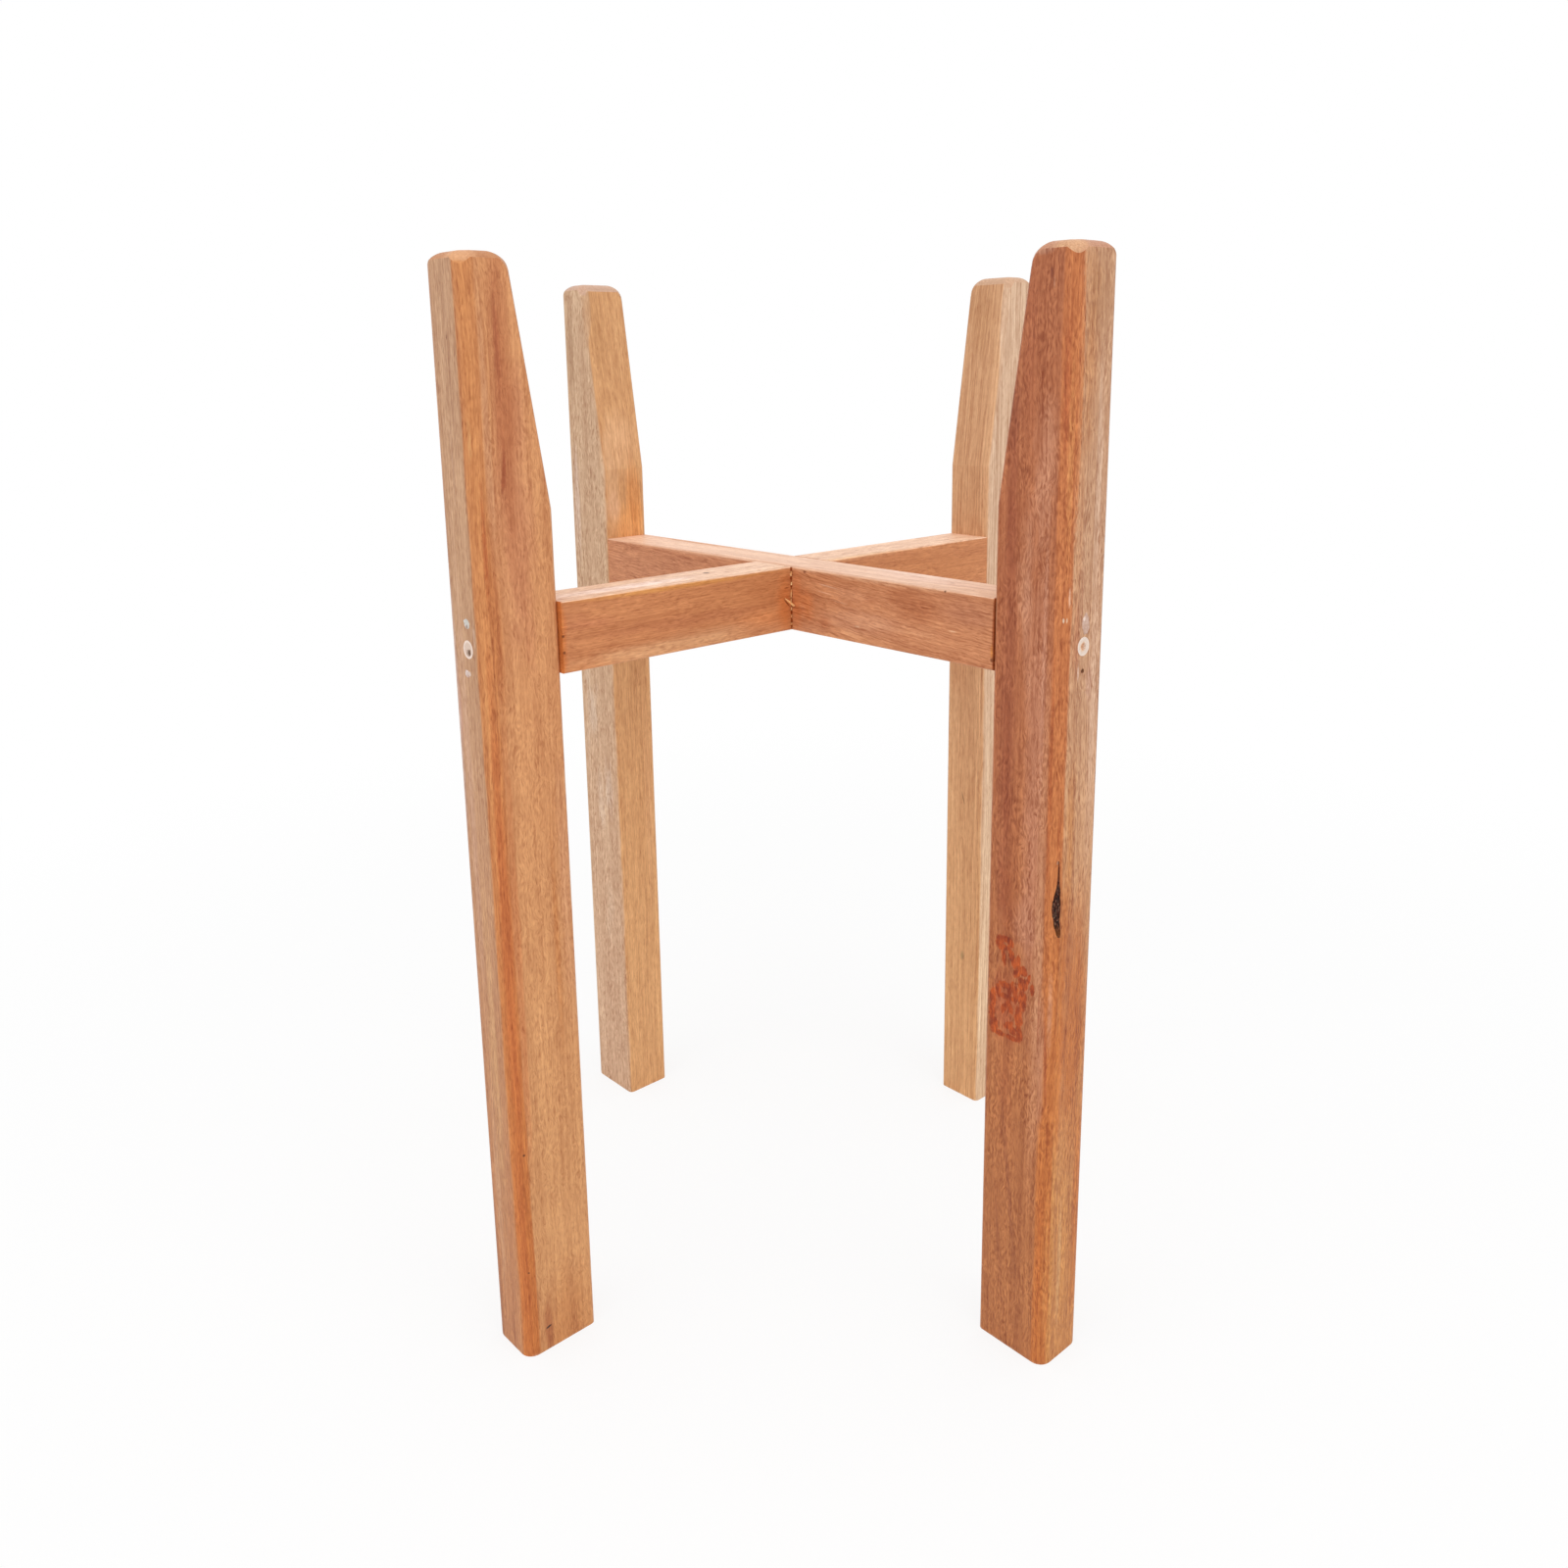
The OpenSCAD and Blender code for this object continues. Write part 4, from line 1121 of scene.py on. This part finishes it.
def dried_gum():
    """Hard gum in a bark pocket: nearly black, crazed, red-brown where it thins into a crack, with
    painted glints.
    """
    material, tree = new_material("dried_gum")
    at = stand_place(tree)
    up = split(tree, at)[2]
    clots = noise(tree, stretched(tree, at, GUM_CLOTS), 3.0, 0.6)
    # Pale glints of reflected light are painted into the gum's colour
    painted_glints = noise(tree, stretched(tree, at, PAINTED_GLINTS), 2.0, 0.6)
    base = mix(tree, step(tree, clots, *GUM_CLOT_LEVELS), GUM_BLACK, GUM_BROWN)
    base = mix(tree, step(tree, painted_glints, *PAINTED_GLINT_LEVELS, 0.0, PAINTED_GLINT_SHARE), base, PAINTED_GLINT_TONE)
    base = mix(tree, step(tree, up, *THIN_FOOT, THIN_SHARE, 0.0), base, THIN_TONE)
    base = mix(tree, step(tree, up, *CRACK_STARTS, 0.0, CRACK_SHARE), base, CRACK_TONE)
    roughness = step(tree, clots, *GUM_ROUGH_LEVELS, GUM_SMOOTH, GUM_ROUGH)
    finish_surface(tree, base, roughness, clots, GUM_RELIEF, Specular_IOR_Level=GUM_SHINE)
    return material


def on_pocket_corner(along_arc, radius, height):
    """A point near the pocket, that far round the corner and out from the corner's middle."""
    bearing = along_arc / CORNER_RADIUS - math.pi / 4
    return off_leg("front_right", (POCKET_CORNER[0] + radius * math.cos(bearing),
                                   POCKET_CORNER[1] + radius * math.sin(bearing), height))


def pocket_reach(height):
    """Half the pocket's width round the corner at a height."""
    return max(math.sqrt(POCKET_ARC ** 2 - (height - POCKET_HEIGHT) ** 2) - POCKET_ARC_OFF, 0.0)


def corner_ring(arcs, tops, bottom, height):
    """A ring round a strip of the corner, over its tops and back along its bottom."""
    ring = [on_pocket_corner(along_arc, top, height) for along_arc, top in zip(arcs, tops)]
    return ring + [on_pocket_corner(along_arc, bottom, height) for along_arc in reversed(arcs)]


def spread(first, last, parts):
    """Evenly spaced places from first to last."""
    return [first + (last - first) * part / parts for part in range(parts + 1)]


def gum_top(along_arc, height):
    """How far out the gum's lumpy top lies, over the pocket or over the wood beside it."""
    lumps = value_noise((along_arc * GUM_LUMPS_ROUND, height * GUM_LUMPS_UP, GUM_LUMPS_LAYER))
    beside = abs(along_arc) > pocket_reach(height) - OVERFLOW_STARTS
    return CORNER_RADIUS - GUM_SUNK + lumps * GUM_SWELL + (GUM_OVERFLOW if beside else 0.0)


def fill_pocket():
    """The gum that fills the open pocket in the front right leg's near corner."""
    rings = []
    for height, left, right in GUM_EDGES:
        arcs = spread(left, right, GUM_PARTS)
        tops = [gum_top(along_arc, height) for along_arc in arcs]
        rings.append(corner_ring(arcs, tops, CORNER_RADIUS - GUM_BACK, height))
    form = bmesh.new()
    loft(form, rings)
    add_piece("gum_in_pocket", form, dried_gum())


def close_pocket(timber):
    """Wood that has healed over the pocket on both sides of the gum, flush with the corner."""
    form = bmesh.new()
    for side in (-1, 1):
        rings = []
        for height, left, right in GUM_EDGES:
            edge = side * (right if side > 0 else left) - LIP_OVERLAP / 2
            outside = max(pocket_reach(height) + LIP_OVERLAP, edge + LIP_LEAST)
            arcs = spread(side * edge, side * outside, LIP_PARTS)
            tops = [CORNER_RADIUS + LIP_PROUD] * len(arcs)
            rings.append(corner_ring(arcs, tops, CORNER_RADIUS - LIP_THICKNESS, height))
        loft(form, rings)
    add_piece("wood_healed_round_gum", form, timber)


# Filler left round the brad holes: how thick it is, its tint and its paler tint, a spot on it, and
# its outline; on the front right leg's smear that spot is a painted highlight. Places on it are to
# the right and up, from the leg's middle and foot as seen from outside.
Smear = namedtuple("Smear", "where thickness tint pale spot outline")
SMEARS = {
    "smear_left_upper": Smear(
        "front_left", 0.22, (202, 198, 190), (224, 218, 212),
        Mark((150, 112, 92), (LEG_DEPTH, 3.0, 370.4), (3.0, 0.9, 1.26), 1.0, 0.6, 1.0),
        ((0.1, 373.0), (2.0, 374.0), (4.0, 373.6), (5.1, 372.2), (5.0, 370.6), (3.8, 369.5),
         (1.9, 369.6), (0.7, 370.9))),
    "smear_left_lower": Smear(
        "front_left", 0.18, (214, 190, 180), (232, 214, 206),
        Mark((204, 164, 144), (LEG_DEPTH, 1.6, 347.6), (3.0, 0.9, 1.26), 1.0, 0.6, 1.0),
        ((-1.3, 349.2), (-0.7, 350.4), (1.2, 350.2), (2.5, 348.8), (2.3, 347.4), (1.0, 346.9),
         (-0.5, 347.3), (-1.5, 348.0))),
    "smear_right_upper": Smear(
        "front_right", 0.16, (202, 164, 144), (216, 184, 166),
        # The spot on this smear is a painted highlight
        Mark((242, 216, 200), (LEG_DEPTH, -2.6, 372.2), (3.0, 1.1, 1.54), 1.0, 0.6, 1.0),
        ((-1.0, 375.2), (0.7, 371.8), (1.4, 368.7), (0.5, 366.2), (-1.9, 364.8), (-3.4, 367.4),
         (-4.1, 370.6), (-3.5, 372.8), (-2.3, 374.2))),
}

# A smear's edge: the points on each stretch of its outline, and how uneven they are. Its top: how
# lumpy it is, and how high it has to rise before it is lumpy.
EDGE_POINTS = (0.0, 0.34, 0.67)
EDGE_UNEVEN, EDGE_UNEVEN_STEP = 0.16, 2.0
TOP_LUMPS, TOP_LUMPS_STEP, TOP_LUMPS_LAYER = 0.05, 1.4, 5.0
LUMPS_ABOVE = 0.02


def smear_finish(name):
    """A smear's own filler, with its one darker or paler spot; the front right leg's pale spot is a
    painted highlight.
    """
    smear = SMEARS[name]
    material, tree = new_material(name)
    place = board_place(tree, *leg_frame(smear.where))
    base = clouded(tree, place, smear.tint, smear.pale)
    filler_surface(tree, place, add_marks(tree, base, place, (smear.spot,)))
    return material


def smear_outline(corners, middle):
    """A smear's ragged outline between its corners."""
    outline = []
    for first, second in zip(corners, corners[1:] + corners[:1]):
        for share in EDGE_POINTS:
            point = first.lerp(second, share)
            ragged = value_noise((point.x * EDGE_UNEVEN_STEP, point.y * EDGE_UNEVEN_STEP, 0.0))
            outline.append(middle + (point - middle) * (1.0 + EDGE_UNEVEN * ragged))
    return outline


def smear_filler(name):
    """A thin mound of filler, ragged at its edge, that sits on a leg's outer face."""
    smear = SMEARS[name]
    corners = [Vector(corner) for corner in smear.outline]
    middle = sum(corners, Vector((0.0, 0.0))) / len(corners)
    outline = smear_outline(corners, middle)

    # From its root in the wood over its edge to its top: each ring's size and rise
    thick = smear.thickness
    mound = ((1.0, -0.25), (1.02, 0.01), (0.90, thick * 0.7), (0.55, thick), (0.15, thick * 0.9))
    rings = []
    for size, rise in mound:
        ring = []
        for point in outline:
            spot = middle + (point - middle) * size
            lump = TOP_LUMPS * value_noise((spot.x * TOP_LUMPS_STEP, spot.y * TOP_LUMPS_STEP,
                                            TOP_LUMPS_LAYER)) if rise > LUMPS_ABOVE else 0.0
            ring.append(off_leg(smear.where, (LEG_DEPTH + rise + lump, spot.x, spot.y)))
        rings.append(ring)
    form = bmesh.new()
    loft(form, rings)
    add_piece(name, form, smear_finish(name))


# Torn fibres down the near corner of the crossing, from the top: where each starts and ends, in
# the stand's millimetres, and its thickness
TORN_FIBRES = (
    ((-9.9, -16.6, 375.9), (-10.3, -16.7, 373.2), 0.75),
    ((-10.9, -16.3, 374.6), (-10.1, -16.5, 373.8), 0.5),
    ((-9.9, -16.6, 370.2), (-10.2, -16.8, 368.4), 0.85),
    ((-10.0, -16.5, 366.4), (-10.4, -16.7, 362.0), 0.6),
    ((-10.1, -16.5, 361.6), (-10.6, -16.8, 358.8), 0.6),
    ((-9.9, -16.5, 356.9), (-10.1, -16.4, 355.2), 0.55),
    ((-9.9, -16.5, 352.6), (-10.3, -16.6, 351.2), 0.6),
    ((-9.8, -16.4, 348.4), (-10.0, -16.5, 347.2), 0.5),
)
SLIVER = ((-14.4, -16.3, 362.0), (-9.9, -18.7, 357.6), 1.3)

# How full a splinter is at each share of its length, how many sides it has, how thick it is for
# its width, how uneven it is, how closely that changes round it and along, and what it lies across
SPLINTER_FULLNESS = ((0.0, 0.12), (0.12, 0.55), (0.35, 0.9), (0.6, 1.0), (0.85, 0.95), (1.0, 0.7))
SPLINTER_SIDES = 7
SPLINTER_FLATNESS = 0.7
SPLINTER_UNEVEN, UNEVEN_ROUND, UNEVEN_ALONG = 0.35, 1.7, 4.0
SPLINTER_FLAT_SIDE = Vector((0.2, 0.5, 0.84))

# Which splinter is which in the noise that makes them uneven
SLIVER_SEED = 2.0
FIBRE_SEEDS_APART = 3.1

# Torn wood: its streaks, their size and the levels of noise between dark and pale, and its finish
TORN_STREAKS, STREAK_LEVELS = (0.5, 2.0), (0.36, 0.62)
TORN_DARK, TORN_PALE = colour(250, 170, 98), colour(255, 214, 150)
TORN_ROUGHNESS = 0.6
TORN_RELIEF = 0.1 * MM


def torn_wood():
    """Raw torn fibres of the rails, streaky and paler than the oiled faces."""
    material, tree = new_material("torn_wood")
    streaks = noise(tree, stretched(tree, stand_place(tree), TORN_STREAKS), 3.0, 0.6)
    base = mix(tree, step(tree, streaks, *STREAK_LEVELS), TORN_DARK, TORN_PALE)
    finish_surface(tree, base, TORN_ROUGHNESS, streaks, TORN_RELIEF)
    return material


def splinter(form, start, end, thickness, seed):
    """A torn splinter between two points in millimetres, from its tip to its broken end."""
    start, end = Vector(start), Vector(end)
    along = (end - start).normalized()
    aside = along.cross(SPLINTER_FLAT_SIDE).normalized()
    above = along.cross(aside)
    rings = []
    for share, fullness in SPLINTER_FULLNESS:
        ring = []
        for side in range(SPLINTER_SIDES):
            bearing = side * math.tau / SPLINTER_SIDES
            bumps = value_noise((seed + side * UNEVEN_ROUND, share * UNEVEN_ALONG, seed))
            uneven = 1.0 + SPLINTER_UNEVEN * bumps
            reach = (aside * math.cos(bearing)
                     + above * SPLINTER_FLATNESS * math.sin(bearing)) * thickness / 2
            ring.append((start.lerp(end, share) + reach * fullness * uneven) * MM)
        rings.append(ring)
    loft(form, rings)


def tear_crossing():
    """The sliver and the torn fibres that stand out of the half lap's near corner."""
    wood = torn_wood()
    form = bmesh.new()
    splinter(form, *SLIVER, SLIVER_SEED)
    add_piece("sliver_at_crossing", form, wood)
    form = bmesh.new()
    for number, (start, end, thickness) in enumerate(TORN_FIBRES):
        splinter(form, start, end, thickness, number * FIBRE_SEEDS_APART)
    add_piece("torn_fibres_at_crossing", form, wood)


# ---------------------------------------------------------------- stage


def seen_directly(tree):
    """1 for what the camera sees, directly, in reflections and through glass, and 0 for light."""
    seen = put(tree, "ShaderNodeLightPath").outputs
    shown = maths(tree, "MAXIMUM", seen["Is Camera Ray"], seen["Is Glossy Ray"])
    return maths(tree, "MAXIMUM", shown, seen["Is Transmission Ray"])


def lay_floor():
    """A pale floor that fades to plain white away from the stand and keeps its shadow."""
    mesh = bpy.data.meshes.new("floor")
    disc = bmesh.new()
    bmesh.ops.create_circle(disc, cap_ends=True, segments=FLOOR_SIDES, radius=FLOOR_REACH)
    disc.to_mesh(mesh)
    disc.free()
    floor = bpy.data.objects.new("floor", mesh)
    bpy.context.scene.collection.objects.link(floor)

    material, tree = new_material("floor_white")
    shown = seen_directly(tree)
    x, y, _ = split(tree, put(tree, "ShaderNodeTexCoord").outputs["Object"])
    reach = vectors(tree, "LENGTH", join(tree, x, y, 0.0))
    plain = step(tree, reach, *FLOOR_FADE, 1.0 - FLOOR_SHADOW_SHARE, 1.0)
    painted = put(tree, "ShaderNodeBsdfDiffuse", {"Color": FLOOR_WHITE})
    white = put(tree, "ShaderNodeEmission", {"Color": WHITE, "Strength": 1.0})
    blended = put(tree, "ShaderNodeMixShader", {0: maths(tree, "MULTIPLY", shown, plain),
                                                1: painted.outputs[0], 2: white.outputs[0]})
    output = tree.nodes.new("ShaderNodeOutputMaterial")
    feed(tree, output.inputs["Surface"], blended.outputs[0])
    mesh.materials.append(material)


def light_walls():
    """White all round for the camera and in reflections, and a soft level light otherwise."""
    world = bpy.data.worlds.new("studio_walls")
    bpy.context.scene.world = world
    world.use_nodes = True
    tree = world.node_tree
    tree.nodes.clear()
    strength = maths(tree, "MULTIPLY_ADD", seen_directly(tree), 1.0 - WALL_LIGHT, WALL_LIGHT)
    walls = put(tree, "ShaderNodeBackground", {"Color": WHITE, "Strength": strength})
    output = tree.nodes.new("ShaderNodeOutputWorld")
    feed(tree, output.inputs["Surface"], walls.outputs[0])


def soft_lamp(name, at, side, watts):
    """A square soft lamp that looks at the middle of the stand."""
    light = bpy.data.lights.new(name, "AREA")
    light.energy = watts
    light.size = side
    lamp = bpy.data.objects.new(name, light)
    lamp.location = at
    lamp.rotation_euler = (LAMPS_AIM - Vector(at)).to_track_quat("-Z", "Y").to_euler()
    lamp.visible_camera = False
    bpy.context.scene.collection.objects.link(lamp)


def set_camera():
    """The photograph's view. The lens centre lies above the middle of the picture."""
    data = bpy.data.cameras.new("camera")
    data.sensor_width = FILM_WIDTH_MM
    data.lens = FOCAL_LENGTH_PX / PHOTO_WIDTH * FILM_WIDTH_MM
    data.shift_y = (LENS_CENTRE_ROW - PHOTO_WIDTH / 2) / PHOTO_WIDTH
    data.clip_start = NEAREST_SEEN
    camera = bpy.data.objects.new("camera", data)
    upper_low, upper_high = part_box("upper_cross_rail")
    lower_low, lower_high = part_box("lower_cross_rail")
    crossing = Vector(((upper_low.x + upper_high.x) / 2, (lower_low.y + lower_high.y) / 2, 0.0))
    forward = Vector((1.0, 1.0, 0.0)).normalized()
    rightward = Vector((1.0, -1.0, 0.0)).normalized()
    camera.location = (crossing - forward * CAMERA_BACK + rightward * CAMERA_RIGHT
                       + Vector((0.0, 0.0, CAMERA_UP)))
    aim = (Matrix.Rotation(CAMERA_BEARING, 3, "Z")
           @ Matrix.Rotation(math.pi / 2 + CAMERA_DIP, 3, "X")
           @ Matrix.Rotation(CAMERA_ROLL, 3, "Z"))
    camera.rotation_euler = aim.to_euler()
    bpy.context.scene.collection.objects.link(camera)
    bpy.context.scene.camera = camera


# ---------------------------------------------------------------- the stand


def dress(node, material):
    """Gives a solid of the frame its finish."""
    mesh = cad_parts[node].data
    mesh.materials.clear()
    mesh.materials.append(material)


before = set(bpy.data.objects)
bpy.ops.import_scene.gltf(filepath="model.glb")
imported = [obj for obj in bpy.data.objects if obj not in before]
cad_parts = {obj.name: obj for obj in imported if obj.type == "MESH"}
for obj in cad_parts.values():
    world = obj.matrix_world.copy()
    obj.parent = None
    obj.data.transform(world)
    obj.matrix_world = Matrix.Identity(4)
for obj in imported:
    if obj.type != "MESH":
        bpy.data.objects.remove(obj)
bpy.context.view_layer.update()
EFFECTS = {"grain": make_grain(), "ragged": make_ragged(), "patch": make_patch(),
           "leg_faces": make_leg_faces(), "worn_edge": make_worn_edge()}

bpy.context.scene.view_settings.view_transform = "Standard"
set_camera()
lay_floor()
light_walls()
for name, (at, side, watts) in LAMPS.items():
    soft_lamp(name, at, side, watts)

brad_filler = plain_filler("brad_filler", (222, 194, 174), (236, 216, 200))
screw_steel = plated_steel("screw_steel", (206, 190, 140))
brad_steel = plated_steel("brad_steel", (190, 192, 196))
for where in LEG_TURNS:
    timber = leg_timber(where)
    dress("leg_" + where, timber)
    if where == "front_right":
        close_pocket(timber)
    dress("screw_" + where, screw_steel)
    dress("brads_" + where, brad_steel)
    dress("screw_filler_" + where, screw_filler(where))
    dress("brad_filler_" + where, brad_filler)
for which in RAIL_WOOD:
    dress(which + "_cross_rail", rail_timber(which))
fill_pocket()
for name in SMEARS:
    smear_filler(name)
tear_crossing()
